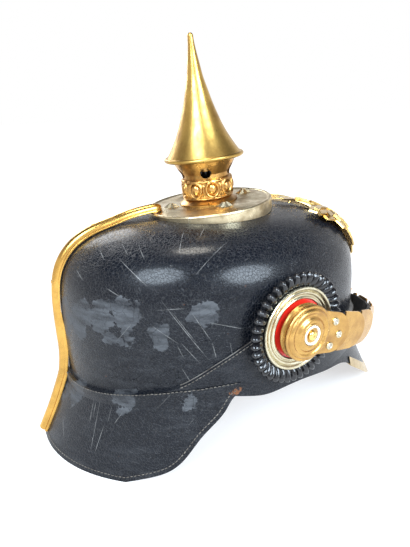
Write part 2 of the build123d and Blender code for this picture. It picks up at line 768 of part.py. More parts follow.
def make_cockade_ring():
    disc = Pos(0, 0, cockade_seat + cockade_disc / 2) * Cylinder(cockade_disc_radius, cockade_disc)
    low = cockade_seat + cockade_disc
    half = fluted_radius * sin(radians(180.0 / flute_count))
    section = [(-half, -flute_root), (half, -flute_root), (half, 0), (0, flute_rise), (-half, 0)]
    flute = extrude(Plane.YZ * make_face(Polyline(*section, close=True)), fluted_radius - fluted_inner_radius)
    wedge_half = radians(180.0 / flute_count)
    reach = 2 * fluted_radius
    corner = (reach * cos(wedge_half), reach * sin(wedge_half))
    wedge = extrude(make_face(Polyline((0, 0), corner, (corner[0], -corner[1]), close=True)), overrun, both=True)
    flute = (Pos(fluted_inner_radius, 0, low) * flute) & wedge
    turns = [360.0 * step / flute_count for step in range(flute_count)]
    body = disc + [Location((0, 0, 0), (0, 0, turn)) * flute for turn in turns]
    body -= Cylinder(bolt_radius + running_fit, overrun)
    return [side_line() * body]


def make_cockade_band():
    low = cockade_seat + cockade_disc
    outer, inner = silver_radius, silver_inner_radius
    edge = low + silver_edge
    crest = ThreePointArc((inner, edge), ((inner + outer) / 2, low + silver_rise), (outer, edge))
    lines = [Line((outer, edge), (outer, low)), Line((outer, low), (inner, low)), Line((inner, low), (inner, edge))]
    band = revolve(Plane.XZ * make_face([line.edge() for line in [crest, *lines]]), axis=Axis.Z)
    return [side_line() * band]


def make_cockade_field():
    low = cockade_seat + cockade_disc
    ring = Cylinder(field_radius, field_sheet) - Cylinder(field_inner_radius, field_sheet)
    return [side_line() * Pos(0, 0, low + field_sheet / 2) * ring]


def strap_line():
    """The right strap's place at its bolt: X runs along the strap and Z stands out."""
    return side_line() * Location((0, 0, 0), (0, 0, -strap_fall))


def tab_under_height(across):
    """Height of the arched tab's underside over the shell, clear of the first scale."""
    low = strap_height + strap_leather + scale_seat + scale_sheet + scale_clearance
    return low + scale_arch * (1 - (2 * across / tab_root_width) ** 2)


def arched_section(half, low, sheet):
    """The section of an arched sheet across the strap."""
    crest = ThreePointArc((-half, low + sheet), (0, low + sheet + scale_arch), (half, low + sheet))
    under = ThreePointArc((-half, low), (0, low + scale_arch), (half, low))
    lines = [Line((-half, low), (-half, low + sheet)), Line((half, low), (half, low + sheet))]
    return make_face([edge.edge() for edge in [crest, under, *lines]])


def tongue(start, shoulder, reach, root, end):
    """A block whose front edge is a rounded tongue."""
    edges = [Line((start, -root), (shoulder, -end)), ThreePointArc((shoulder, -end), (reach, 0), (shoulder, end)),
             Line((shoulder, end), (start, root)), Line((start, root), (start, -root))]
    return extrude(make_face([edge.edge() for edge in edges]), overrun, both=True)


def make_rosette():
    root = tab_root_width / 2
    reach = tab_length + scale_overlap
    sheet = extrude(Plane.YZ * arched_section(root, tab_under_height(root), tab_sheet), 2 * reach)
    tab = sheet & tongue(0, tab_length * scale_shoulder_share, reach, root, tab_end_width / 2)
    collar_foot = cockade_seat + cockade_disc + rosette_collar_gap
    outline = [(bolt_radius + running_fit, collar_foot), (rosette_collar_radius, collar_foot),
               (rosette_collar_radius, rosette_base), (rosette_radius, rosette_base)]
    outline += [(rosette_radius * out, rosette_base + rosette_height * up) for out, up in rosette_step_shares]
    outline += [(bolt_radius + running_fit, rosette_base + rosette_height)]
    tab -= Cylinder(rosette_radius - tab_sheet, overrun)
    return [strap_line() * cut(tab + turned(outline), rivet_pegs(rivet_shank_radius))]


def rivet_spots():
    return [(tab_length * along, tab_root_width * across) for along, across in rivet_places]


def rivet_pegs(radius):
    return [Pos(along, across, 0) * Cylinder(radius, overrun) for along, across in rivet_spots()]


def make_tab_rivets():
    rivets = []
    for along, across in rivet_spots():
        top = tab_under_height(max(abs(across) - rivet_radius, 0)) + tab_sheet
        shank = Pos(0, 0, (top + strap_height) / 2) * Cylinder(rivet_shank_radius, top - strap_height)
        rivet = shank + Pos(0, 0, top) * button(rivet_radius, rivet_rise)
        rivets.append(strap_line() * Pos(along, across, 0) * rivet)
    return rivets


def make_tab_leather():
    height = tab_under_height(tab_root_width / 2) - strap_height
    width = tab_end_width - 2 * leather_margin
    length = tab_length - hinge_gap / 2
    leather = Pos(length / 2, 0, strap_height + height / 2) * Box(length, width, height)
    leather -= Cylinder(rosette_radius + seam_gap, overrun)
    clear = Pos(tab_length, 0, strap_height + strap_leather + overrun / 2) * Box(2 * scale_overlap, overrun, overrun)
    return [strap_line() * cut(leather - clear, rivet_pegs(rivet_shank_radius))]


def turns():
    return [first_turn + turn_step * step for step in range(scale_count)]


def scale_pitch():
    """Length of a link, so that the two straps meet in the middle."""
    total = 0.0
    along = 0.0
    inward = 0.0
    for turn in turns():
        total += turn
        along += cos(radians(total))
        inward += sin(radians(total))
    turn = radians(cockade_turn)
    forward = cos(radians(strap_fall)) * sin(turn)
    start = (strap_line() * Pos(tab_length, 0, strap_height)).position
    return (-strap_end_gap / 2 - start.X) / (along * forward + inward * cos(turn))


def link_places():
    """Where each link of the right strap starts: X along the link, Z outward."""
    place = strap_line() * Pos(tab_length, 0, strap_height)
    places = []
    for turn in turns():
        place = place * Location((0, 0, 0), (0, turn, 0))
        places.append(place)
        place = place * Pos(scale_pitch(), 0, 0)
    return places


def link_width(index):
    return tab_end_width + (scale_end_width - tab_end_width) * index / scale_count


def make_chin_scale(index, place):
    """An arched scale whose rounded front edge lies over the next scale."""
    last = index == scale_count - 1
    width = link_width(index)
    length = scale_pitch() - (strap_end_length + scale_overlap if last else 0)
    reach = length + scale_overlap
    slope = (scale_sheet + scale_clearance) / scale_pitch()
    section = arched_section(width / 2, strap_leather + scale_seat, scale_sheet)
    tilt = degrees(atan(slope))
    sheet = Location((0, 0, 0), (0, -tilt, 0)) * extrude(Plane.YZ * section, 2 * reach)
    outline = tongue(hinge_gap, length * scale_shoulder_share, reach, width / 2, link_width(index + 1) / 2)
    return [place * (sheet & outline)]


def make_strap_leather(index, place):
    width = link_width(index + 1) - 2 * leather_margin
    length = scale_pitch() - hinge_gap
    middle = Pos(scale_pitch() / 2, 0, strap_leather / 2)
    return [place * middle * Box(length, width, strap_leather)]


def strap_end():
    """The middle of the bare end of the last link's leather."""
    return link_places()[-1] * Pos(scale_pitch() - hinge_gap / 2 - strap_end_length / 2, 0, 0)


def make_buckle():
    width = link_width(scale_count) + 2 * buckle_margin
    length = strap_end_length - 2 * hinge_gap
    height = strap_leather + seam_gap + buckle_height / 2
    frame = Box(length, width, buckle_height) - Box(length - 2 * buckle_bar, width - 2 * buckle_bar, buckle_height)
    tongue = Box(length - buckle_bar, buckle_bar, buckle_height)
    return [strap_end() * Pos(0, 0, height) * (frame + tongue)]


def make_strap_tip():
    width = link_width(scale_count) - 2 * leather_margin
    length = strap_end_length - 2 * hinge_gap
    shell = Box(length, width + 2 * tip_brass, strap_leather + 2 * tip_brass) - Box(2 * length, width, strap_leather)
    return [mirror(strap_end() * Pos(0, 0, strap_leather / 2) * shell, about=Plane.YZ)]


def bolt_top():
    return rosette_base + rosette_height + rosette_collar_gap


def make_rosette_bolt():
    foot = shell_wall + side_nut_gap + side_nut_height + bolt_end
    shank = Pos(0, 0, (bolt_top() - foot) / 2) * Cylinder(bolt_radius, bolt_top() + foot)
    head = Pos(0, 0, bolt_top() + bolt_head_height / 2) * Cylinder(bolt_head_radius, bolt_head_height)
    ball = Pos(0, 0, bolt_top() + bolt_head_height) * button(bolt_ball_radius, bolt_ball_rise)
    return [side_line() * (shank + head + ball)]


def make_rosette_nut():
    nut = hexagon_nut(side_nut_radius, side_nut_height, bolt_radius)
    return [side_line() * Pos(0, 0, -shell_wall - side_nut_gap) * nut]


def make_sweatband():
    def oval(inset, height):
        return Pos(0, 0, height) * Ellipse(shell_half_width - inset, shell_half_length - inset)
    foot, head = shell_rim_height, sweatband_top_height
    outer = loft([oval(sweatband_foot, foot), oval(sweatband_head, head)], ruled=True)
    leather = sweatband_leather
    inner = loft([oval(sweatband_foot + leather, foot), oval(sweatband_head + leather, head)], ruled=True)
    return [outer - inner]


def make_liner():
    share = narrow_share(-liner_inset)
    body = round_sheet(-liner_inset, -liner_inset - liner_leather, liner_foot_height)
    hole = extrude(Ellipse(finger_hole_radius / share, finger_hole_radius), 2 * overrun)
    body -= Pos(0, 0, shell_belt_height) * hole
    slot_place = Pos(shell_half_length / 2, 0, finger_slot_height + overrun / 2)
    slot = slot_place * Box(shell_half_length, finger_slot, overrun)
    turns_round = [360.0 * (step + 1 / 2) / liner_fingers for step in range(liner_fingers)]
    slots = [Location((0, 0, 0), (0, 0, turn)) * slot for turn in turns_round]
    return [narrowed(cut(body, slots), -liner_inset)]


def side_nodes(name, solids):
    """The same piece for the wearer's right and left side."""
    mirrored = [mirror(solid, about=Plane.YZ) for solid in solids]
    return {name.replace("SIDE", "right"): solids, name.replace("SIDE", "left"): mirrored}


def make_nodes():
    visor = make_front_visor()
    nodes = {"shell": make_shell(), "neck_guard": make_neck_guard(), "neck_guard_lining": make_guard_lining(),
             "front_visor": visor, "front_visor_lining": make_visor_lining(),
             "front_visor_trim": make_visor_trim(visor[0]), "rear_spine": make_rear_spine(),
             "spine_screws": make_spine_screws(), "top_plate": make_top_plate(), "star_studs": make_star_studs(),
             "crown_nuts": make_crown_nuts(), "spike_neck": make_spike_neck(), "egg_band": make_egg_band(),
             "spike_socket": make_spike_socket(), "spike": make_spike(), "spike_stem": make_spike_stem(),
             "front_plate": make_front_plate(), "front_plate_posts": make_eagle_posts(),
             "rosette_bolts": both_sides(make_rosette_bolt()), "rosette_nuts": both_sides(make_rosette_nut()),
             "sweatband": make_sweatband(), "liner": make_liner(), "buckle": make_buckle(),
             "strap_tip": make_strap_tip()}
    nodes.update(side_nodes("cockade_ring_SIDE", make_cockade_ring()))
    nodes.update(side_nodes("cockade_band_SIDE", make_cockade_band()))
    nodes.update(side_nodes("cockade_field_SIDE", make_cockade_field()))
    nodes.update(side_nodes("rosette_SIDE", make_rosette()))
    nodes.update(side_nodes("tab_rivets_SIDE", make_tab_rivets()))
    nodes.update(side_nodes("tab_leather_SIDE", make_tab_leather()))
    for index, place in enumerate(link_places()):
        nodes.update(side_nodes(f"chin_scale_SIDE_{index + 1}", make_chin_scale(index, place)))
        nodes.update(side_nodes(f"strap_leather_SIDE_{index + 1}", make_strap_leather(index, place)))
    return nodes


if __name__ == "__main__":
    for name, solids in make_nodes().items():
        export_step(Compound(children=[solid for piece in solids for solid in piece.solids()]), f"parts/{name}.step")
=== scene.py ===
# %% [markdown]
# # A leather helmet with a brass spike
# The helmet's hard parts are already modelled to size: the leather bodies, the
# spike, the front plate and the chin scales. This lesson gives each of them its
# finish, and adds what a maker does last: turned and pressed brass, rivets, thread
# and worn edges. Finishes are in metres, so a scratch has the size it has on a real
# one. Sections of turned pieces are in millimetres, as in a lathe drawing.

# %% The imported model
import bpy
import bmesh
import json
import math
from mathutils import Matrix, Vector
from mathutils.bvhtree import BVHTree

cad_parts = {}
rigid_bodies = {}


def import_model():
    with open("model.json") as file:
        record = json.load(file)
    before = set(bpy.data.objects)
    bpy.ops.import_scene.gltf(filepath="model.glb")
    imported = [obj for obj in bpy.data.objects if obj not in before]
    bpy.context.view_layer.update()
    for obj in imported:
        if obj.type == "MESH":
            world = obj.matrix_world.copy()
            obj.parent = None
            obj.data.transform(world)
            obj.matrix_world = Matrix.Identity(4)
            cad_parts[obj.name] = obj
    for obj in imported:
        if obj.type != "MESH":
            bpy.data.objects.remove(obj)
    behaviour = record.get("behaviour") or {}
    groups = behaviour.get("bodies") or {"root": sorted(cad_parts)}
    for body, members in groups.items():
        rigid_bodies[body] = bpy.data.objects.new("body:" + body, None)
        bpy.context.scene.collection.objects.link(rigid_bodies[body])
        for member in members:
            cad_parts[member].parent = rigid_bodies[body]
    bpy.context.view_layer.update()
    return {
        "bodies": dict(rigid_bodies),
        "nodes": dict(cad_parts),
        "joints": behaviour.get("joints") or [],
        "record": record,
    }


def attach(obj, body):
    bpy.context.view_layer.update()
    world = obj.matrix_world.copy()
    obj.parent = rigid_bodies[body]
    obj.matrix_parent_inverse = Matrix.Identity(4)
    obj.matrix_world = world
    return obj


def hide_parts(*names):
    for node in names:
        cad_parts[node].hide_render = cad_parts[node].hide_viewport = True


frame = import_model()
nodes = frame["nodes"]
millimetre = 0.001


# %% [markdown]
# ## Maths on a surface
# A finish is arithmetic on patterns: a noise here, a threshold there, one mixed
# into another. Written as nodes that is hard to read. So a wire wraps the output
# of a node and understands plus, minus and times, and each of them adds the node
# that does it. Any other node comes from the finish's own node() method.

# %% Wires and finishes
class Wire:
    """The output of a node, with Python's operators."""

    def __init__(self, finish, socket):
        self.finish = finish
        self.socket = socket

    def math(self, operation, first, second):
        return self.finish.node("ShaderNodeMath", {"operation": operation}, {0: first, 1: second})

    def __add__(self, other):
        return self.math("ADD", self, other)

    def __radd__(self, other):
        return self.math("ADD", other, self)

    def __sub__(self, other):
        return self.math("SUBTRACT", self, other)

    def __rsub__(self, other):
        return self.math("SUBTRACT", other, self)

    def __mul__(self, other):
        return self.math("MULTIPLY", self, other)

    def __rmul__(self, other):
        return self.math("MULTIPLY", other, self)


class Finish:
    """A material with one main shader, built up from wires."""

    def __init__(self, name, **constants):
        self.material = bpy.data.materials.new(name)
        self.material.use_nodes = True
        self.tree = self.material.node_tree
        self.shader = self.tree.nodes["Principled BSDF"]
        for socket, value in constants.items():
            self.shader.inputs[socket.replace("_", " ")].default_value = value
        self.where = self.node("ShaderNodeTexCoord", out="Object")

    def node(self, kind, settings=None, inputs=None, out=0):
        """Add a node: its settings first, then the values or wires of its sockets."""
        node = self.tree.nodes.new(kind)
        for key, value in (settings or {}).items():
            setattr(node, key, value)
        for key, value in (inputs or {}).items():
            self.join(node.inputs[key], value)
        return Wire(self, node.outputs[out])

    def join(self, socket, value):
        if isinstance(value, Wire):
            self.tree.links.new(value.socket, socket)
        elif isinstance(value, tuple) and len(value) == 3 and socket.type == "RGBA":
            socket.default_value = (*value, 1.0)
        else:
            socket.default_value = value

    def feed(self, **sockets):
        for name, value in sockets.items():
            self.join(self.shader.inputs[name.replace("_", " ")], value)
        return self


print("Wires ready")


# %% [markdown]
# ## Patterns that many finishes share
# Most wear is one of a few patterns. Noise gives clouds and grain. Noise that is
# squeezed along one axis gives the streaks of a polishing wheel. The edges of
# Voronoi cells give the cracks of dried lacquer. A range node turns any of them
# into a mask from 0 to 1.

# %% Patterns
def stretched(finish, scale):
    """Coordinates squeezed per axis, so that a pattern becomes streaks."""
    return finish.node("ShaderNodeMapping", {}, {"Vector": finish.where, "Scale": scale})


def clouds(finish, size, detail=3.0, where=None, rough=0.5, seed=0.0):
    """Noise whose lumps are about this many metres wide."""
    return finish.node("ShaderNodeTexNoise", {"noise_dimensions": "4D"},
                       {"Vector": where or finish.where, "W": seed, "Scale": 1.0 / size, "Detail": detail,
                        "Roughness": rough})


def warped(finish, size, amount):
    """Coordinates pushed about by a noise, so that straight cracks wander."""
    push = finish.node("ShaderNodeTexNoise", {}, {"Vector": finish.where, "Scale": 1.0 / size, "Detail": 3.0},
                       out="Color")
    centred = finish.node("ShaderNodeVectorMath", {"operation": "SUBTRACT"}, {0: push, 1: (0.5, 0.5, 0.5)})
    scaled = finish.node("ShaderNodeVectorMath", {"operation": "SCALE"}, {0: centred, "Scale": amount})
    return finish.node("ShaderNodeVectorMath", {"operation": "ADD"}, {0: finish.where, 1: scaled})


def cracks(finish, where, size, width):
    """1 on the edges of cells about this wide, 0 between them."""
    edge = finish.node("ShaderNodeTexVoronoi", {"feature": "DISTANCE_TO_EDGE"},
                       {"Vector": where, "Scale": 1.0 / size})
    return ranged(finish, edge, width / size, 0.0)


def ranged(finish, value, low, high, to_low=0.0, to_high=1.0):
    """Spread a value between two limits over a new range."""
    limits = {"From Min": low, "From Max": high, "To Min": to_low, "To Max": to_high}
    return finish.node("ShaderNodeMapRange", {"clamp": True}, {"Value": value, **limits})


def mixed(finish, mask, first, second):
    """The first colour where the mask is 0 and the second where it is 1."""
    return finish.node("ShaderNodeMix", {"data_type": "RGBA"}, {0: mask, 6: first, 7: second}, out=2)


def bumped(finish, height, distance, strength=1.0, normal=None):
    """A normal from a height pattern, whose full depth is the distance in metres."""
    inputs = {"Height": height, "Distance": distance, "Strength": strength}
    if normal is not None:
        inputs["Normal"] = normal
    return finish.node("ShaderNodeBump", {}, inputs)


print("Patterns ready")


# %% [markdown]
# ## Old lacquered leather
# The shell is cow hide, boiled to shape and covered with black lacquer. After a
# century the lacquer has a fine net of cracks that shows only where light hits
# it, and it is rubbed to a dull grey in patches with sharp, scalloped edges. The
# patches lie at measured spots of the helmet: each spot lends the cloud pattern a
# push, and the cloud gives the patch its outline. A scratch is a thin slice: the
# leather within a hair of a plane, and within reach of the scratch's middle. Where
# the lacquer chipped off, the brown leather shows.

# %% Leather
shell_heart = Vector((0.0, 0.0, 70.0)) * millimetre
mark_width = 0.00022
patch_size, smear_size, grain_size, dent_size = 0.020, 0.010, 0.0011, 0.030
fine_crack_cell, fine_crack_width = 0.0019, 0.00016
broad_crack_cell, broad_crack_width = 0.0085, 0.00022
black_lacquer_colour, rubbed_colour = (0.0026, 0.0038, 0.0070), (0.082, 0.086, 0.093)
crack_colour, scratch_colour, bare_colour = (0.16, 0.15, 0.14), (0.40, 0.39, 0.37), (0.20, 0.075, 0.028)
lowest_rub, highest_rub = 0.080, 0.108


def larger(finish, first, second):
    return finish.node("ShaderNodeMath", {"operation": "MAXIMUM"}, {0: first, 1: second})


def reach_of(finish, spot):
    """How far the surface is from a spot."""
    return finish.node("ShaderNodeVectorMath", {"operation": "DISTANCE"}, {0: finish.where, 1: tuple(spot)},
                       out="Value")


def level_of(finish, direction):
    """How far the surface lies along a direction."""
    return finish.node("ShaderNodeVectorMath", {"operation": "DOT_PRODUCT"},
                       {0: finish.where, 1: tuple(direction)}, out="Value")


def near(finish, spots):
    """1 at each spot and 0 at its reach; a spot is x, y, z and reach in millimetres."""
    total = 0.0
    for *spot, reach in spots:
        away = reach_of(finish, Vector(spot) * millimetre)
        total = larger(finish, total, ranged(finish, away, 0.0, reach * millimetre, 1.0, 0.0))
    return total


def marks(finish, lines):
    """Straight scratches, each from one point to another in millimetres."""
    total = 0.0
    for start, end in lines:
        start, end = Vector(start) * millimetre, Vector(end) * millimetre
        middle, half = (start + end) / 2, (end - start).length / 2
        level = (end - start).cross(middle - shell_heart).normalized()
        above = level_of(finish, level) - start.dot(level)
        off = finish.node("ShaderNodeMath", {"operation": "ABSOLUTE"}, {0: above})
        ends = ranged(finish, reach_of(finish, middle), half, half * 0.45)
        total = larger(finish, total, ranged(finish, off, mark_width, mark_width * 0.25) * ends)
    return total


def scratches(finish, direction, spacing, width, seed):
    """Thin strokes all round, at right angles to a direction and this far apart."""
    bend = clouds(finish, 0.09, 1.0, seed=seed)
    turns = level_of(finish, direction) * (2.0 * math.pi / spacing) + bend * 7.0
    wave = finish.node("ShaderNodeMath", {"operation": "SINE"}, {0: turns})
    thin = (math.pi * width / spacing) ** 2 / 2.0
    stroke = ranged(finish, wave, 1.0 - 3.0 * thin, 1.0 - thin * 0.5)
    return stroke * ranged(finish, clouds(finish, 0.034, 2.0, seed=seed + 0.5), 0.62, 0.67)


def rubbed_patches(finish, spots):
    """How far the lacquer is rubbed: streaky patches at the spots, faint smears low down."""
    outline = clouds(finish, patch_size, 5.0, stretched(finish, (1.0, 1.0, 1.25)), rough=0.60, seed=2.0)
    patch = ranged(finish, ranged(finish, outline, 0.30, 0.70) + near(finish, spots), 1.0, 1.03)
    smear = clouds(finish, smear_size, 5.0, stretched(finish, (0.5, 0.5, 2.0)), rough=0.65, seed=4.0)
    low = ranged(finish, level_of(finish, (0.0, 0.0, 1.0)), highest_rub, lowest_rub)
    worn = patch * ranged(finish, smear, 0.38, 0.60, 0.12, 1.0)
    return worn, ranged(finish, smear, 0.50, 0.66) * low * 0.14


def all_scratches(finish, lines):
    """Faint strokes from two sides and the measured scratches, broken up by a cloud."""
    strokes = scratches(finish, (0.62, 0.42, 0.66), 0.0230, 0.00020, 11.0)
    strokes = larger(finish, strokes, scratches(finish, (-0.36, 0.80, 0.47), 0.0210, 0.00018, 12.0))
    strokes = larger(finish, strokes * 0.5, marks(finish, lines))
    return strokes * ranged(finish, clouds(finish, 0.007, 2.0, seed=41.0), 0.35, 0.60, 0.25, 1.0)


def leather_relief(finish, grain, net):
    """Dents, the fine net of cracks, a broad net here and there, and the grain."""
    broad_net = cracks(finish, warped(finish, 0.010, 0.006), broad_crack_cell, broad_crack_width)
    broad_here = ranged(finish, clouds(finish, 0.030, 2.0, seed=7.0), 0.46, 0.58)
    normal = bumped(finish, clouds(finish, dent_size, 2.0, seed=23.0), 0.0014, 0.40)
    normal = bumped(finish, 1.0 - net, 0.00020, 0.80, normal)
    normal = bumped(finish, 1.0 - broad_net * broad_here, 0.00060, 0.75, normal)
    return bumped(finish, grain, 0.00016, 0.5, normal)


def lacquered_leather(name, spots, lines, brown_spots, gloss):
    finish = Finish(name, Specular_IOR_Level=0.20, Coat_Roughness=0.12)
    worn, rubbed = rubbed_patches(finish, spots)
    net = cracks(finish, warped(finish, 0.003, 0.0012), fine_crack_cell, fine_crack_width)
    colour = mixed(finish, larger(finish, worn, rubbed), black_lacquer_colour, rubbed_colour)
    colour = mixed(finish, net * 0.10, colour, crack_colour)
    colour = mixed(finish, all_scratches(finish, lines) * 0.60, colour, scratch_colour)
    brown = near(finish, brown_spots) * 0.5 + clouds(finish, 0.004, 3.0, seed=19.0)
    colour = mixed(finish, ranged(finish, brown, 0.72, 0.80) * 0.85, colour, bare_colour)
    grain = clouds(finish, grain_size, 3.0)
    roughness = ranged(finish, worn, 0.0, 1.0, gloss, 0.58) + (grain - 0.5) * 0.10 + net * 0.08
    finish.feed(Base_Color=colour, Roughness=roughness, Normal=leather_relief(finish, grain, net))
    return finish.feed(Coat_Weight=ranged(finish, worn, 0.0, 1.0, 0.16, 0.0)).material


shell_spots = [(-16.0, 113.0, 96.0, 24.0), (-35.9, 107.3, 103.6, 29.0), (-52.9, 95.5, 103.0, 27.0),
               (-64.0, 83.0, 103.0, 26.0), (-75.3, 68.4, 99.3, 15.0), (-86.5, 39.0, 113.1, 16.0)]
shell_lines = [((-74.8, 63.9, 121.9), (-87.8, 38.5, 79.9)), ((-78.8, 59.0, 114.9), (-86.0, 46.0, 93.0)),
               ((-83.7, 47.8, 113.4), (-88.2, 37.1, 93.4)), ((-88.2, 37.1, 93.4), (-88.8, 34.7, 81.3)),
               ((-73.5, 70.8, 105.8), (-81.8, 55.6, 92.9)), ((-81.9, 55.5, 94.7), (-86.2, 43.9, 78.1)),
               ((-66.5, 13.7, 149.9), (-78.7, 43.2, 133.7)), ((-44.2, 35.8, 154.2), (-66.1, 47.7, 144.8)),
               ((-46.1, 22.2, 154.7), (-59.2, 31.4, 151.1)), ((-43.4, 67.1, 149.2), (-59.0, 67.3, 141.9)),
               ((-45.1, 81.2, 142.7), (-70.3, 68.3, 127.3)), ((-36.2, 75.8, 148.5), (-49.5, 75.4, 143.7)),
               ((-27.4, 88.9, 145.1), (-40.9, 88.8, 139.9)), ((-24.1, 104.9, 132.1), (-35.7, 102.6, 126.7)),
               ((-51.8, 91.5, 126.0), (-60.2, 84.8, 121.9)), ((-74.3, 67.6, 114.9), (-82.1, 51.0, 116.0)),
               ((-87.2, 39.1, 106.6), (-91.9, 17.0, 99.4)), ((-90.6, 26.2, 92.2), (-91.4, 24.6, 81.0)),
               ((-81.2, 57.2, 92.3), (-82.5, 54.0, 83.6)), ((-81.8, 55.7, 77.0), (-84.8, 49.0, 62.3))]
flap_spots = [(-9.0, 118.5, 42.0, 22.0), (-25.4, 116.9, 43.7, 20.0), (-61.6, 92.1, 53.4, 18.0),
              (-85.8, 54.7, 51.1, 12.0)]
flap_lines = [((-43.5, 107.1, 45.9), (-47.2, 112.3, 29.2)), ((-48.4, 103.8, 47.2), (-55.3, 114.8, 12.5)),
              ((-56.7, 103.7, 32.1), (-58.0, 112.7, 12.3)), ((-56.8, 97.1, 45.1), (-58.2, 101.1, 34.7)),
              ((-63.8, 91.5, 43.3), (-61.8, 97.8, 34.7)), ((-45.6, 105.8, 44.4), (-48.1, 109.4, 33.6))]
shell_chips, flap_chips = [(-30.0, 97.0, 140.0, 2.0)], [(-94.1, 24.3, 57.7, 6.0)]
shell_leather = lacquered_leather("shell_leather", shell_spots, shell_lines, shell_chips, 0.27)
flap_leather = lacquered_leather("flap_leather", flap_spots, flap_lines, flap_chips, 0.29)
print("Leather made:", shell_leather.name, flap_leather.name)


# %% [markdown]
# ## Plain hide
# The lining, the backing of the chin scales and the sweatband are thin hide with
# no lacquer: matt, a little mottled, darker where it was handled.

# %% Hide
pore_size = 0.0012


def plain_hide(name, light, dark):
    finish = Finish(name, Specular_IOR_Level=0.35)
    mottle = ranged(finish, clouds(finish, 0.016, 5.0, rough=0.65), 0.35, 0.68)
    pores = clouds(finish, pore_size, 3.0, seed=3.0)
    creases = cracks(finish, warped(finish, 0.008, 0.006), 0.009, 0.00025)
    colour = mixed(finish, mottle, light, dark)
    colour = mixed(finish, creases * 0.45, colour, tuple(value * 0.45 for value in dark))
    roughness = ranged(finish, mottle, 0.0, 1.0, 0.52, 0.68) + pores * 0.08
    normal = bumped(finish, pores * 0.6 - creases, 0.00022, 0.7)
    return finish.feed(Base_Color=colour, Roughness=roughness, Normal=normal).material


brown_hide = plain_hide("brown_hide", (0.085, 0.040, 0.018), (0.035, 0.016, 0.008))
dark_hide = plain_hide("dark_hide", (0.030, 0.027, 0.026), (0.012, 0.011, 0.011))
liner_hide = plain_hide("liner_hide", (0.30, 0.185, 0.095), (0.17, 0.09, 0.045))
red_hide = plain_hide("red_hide", (0.20, 0.022, 0.014), (0.09, 0.010, 0.008))
green_hide = plain_hide("green_hide", (0.030, 0.085, 0.035), (0.014, 0.040, 0.018))
print("Hide made")


# %% [markdown]
# ## Brass
# Polished brass is never one yellow. The wheel leaves fine streaks, tarnish sits
# as brown clouds, and dark specks stay where the polish doesn't reach. The spike
# was spun, so its streaks run along it; its broad dark streaks are partly tarnish
# and partly painted reflection of the dark bands it mirrors. The other pieces get
# their own direction.

# %% Brass
along_spike, along_neck, all_ways = (1.0, 1.0, 0.05), (1.0, 1.0, 0.3), (1.0, 1.0, 1.0)
along_wings, across_spine = (1.0, 1.0, 0.4), (1.0, 0.3, 0.3)
across_scales, along_trim = (0.2, 1.0, 1.0), (0.4, 0.4, 1.0)
brush_width, streak_width, stain_width, speck_width = 0.0011, 0.006, 0.014, 0.0016


def old_brass(name, bright, tarnish, streak, tarnish_amount, rough, speck_amount=0.5):
    finish = Finish(name, Metallic=1.0)
    brushed = clouds(finish, brush_width, 4.0, stretched(finish, streak), rough=0.6)
    broad = clouds(finish, streak_width, 3.0, stretched(finish, streak), rough=0.5, seed=5.0)
    cloud = ranged(finish, clouds(finish, stain_width, 5.0, rough=0.65, seed=9.0), 0.42, 0.70)
    specks = clouds(finish, speck_width, 4.0, rough=0.7, seed=13.0)
    specks = ranged(finish, specks, 0.62, 0.72) * speck_amount
    # Broad dark streaks: tarnish, and on the spike also painted reflection bands.
    tarnish_and_reflection = cloud * tarnish_amount + ranged(finish, broad, 0.45, 0.70) * tarnish_amount * 0.6
    colour = mixed(finish, ranged(finish, tarnish_and_reflection, 0.0, 1.0), bright, tarnish)
    colour = mixed(finish, specks, colour, tuple(value * 0.35 for value in tarnish))
    roughness = ranged(finish, tarnish_and_reflection, 0.0, 1.0, rough[0], rough[1]) + (brushed - 0.5) * 0.10 + specks * 0.15
    normal = bumped(finish, brushed, 0.00006, 0.45)
    normal = bumped(finish, clouds(finish, 0.012, 2.0, seed=17.0), 0.0006, 0.35, normal)
    return finish.feed(Base_Color=colour, Roughness=roughness, Normal=normal).material


# The spike's dark streaks along it are partly painted reflection, partly tarnish.
spike_brass = old_brass("spike_brass", (0.60, 0.385, 0.105), (0.24, 0.125, 0.030),
                        along_spike, 0.7, (0.27, 0.44))
neck_brass = old_brass("neck_brass", (0.58, 0.33, 0.10), (0.22, 0.105, 0.034),
                       along_neck, 0.8, (0.26, 0.44))
plate_brass = old_brass("plate_brass", (0.72, 0.63, 0.43), (0.33, 0.23, 0.115),
                        all_ways, 0.8, (0.24, 0.44), 0.9)
eagle_brass = old_brass("eagle_brass", (0.66, 0.46, 0.17), (0.26, 0.15, 0.05),
                        along_wings, 0.6, (0.22, 0.36))
spine_brass = old_brass("spine_brass", (0.68, 0.40, 0.10), (0.33, 0.175, 0.045),
                        across_spine, 0.6, (0.20, 0.36))
scale_brass = old_brass("scale_brass", (0.60, 0.36, 0.11), (0.34, 0.175, 0.065),
                        across_scales, 0.6, (0.24, 0.40))
trim_brass = old_brass("trim_brass", (0.60, 0.46, 0.24), (0.28, 0.18, 0.08),
                       along_trim, 0.6, (0.26, 0.42))
print("Brass made")


# %% [markdown]
# ## Silver, steel and lacquer
# The cockade has a silvered band round a red field. Silvering wears thin and
# shows grey specks. The nuts inside the shell are plain steel. The pleated ring
# and the red field are lacquered sheet, glossier than the leather, and the stem of
# the spike is black too.

# %% Silver, steel and lacquer
lacquer_coat = 0.3


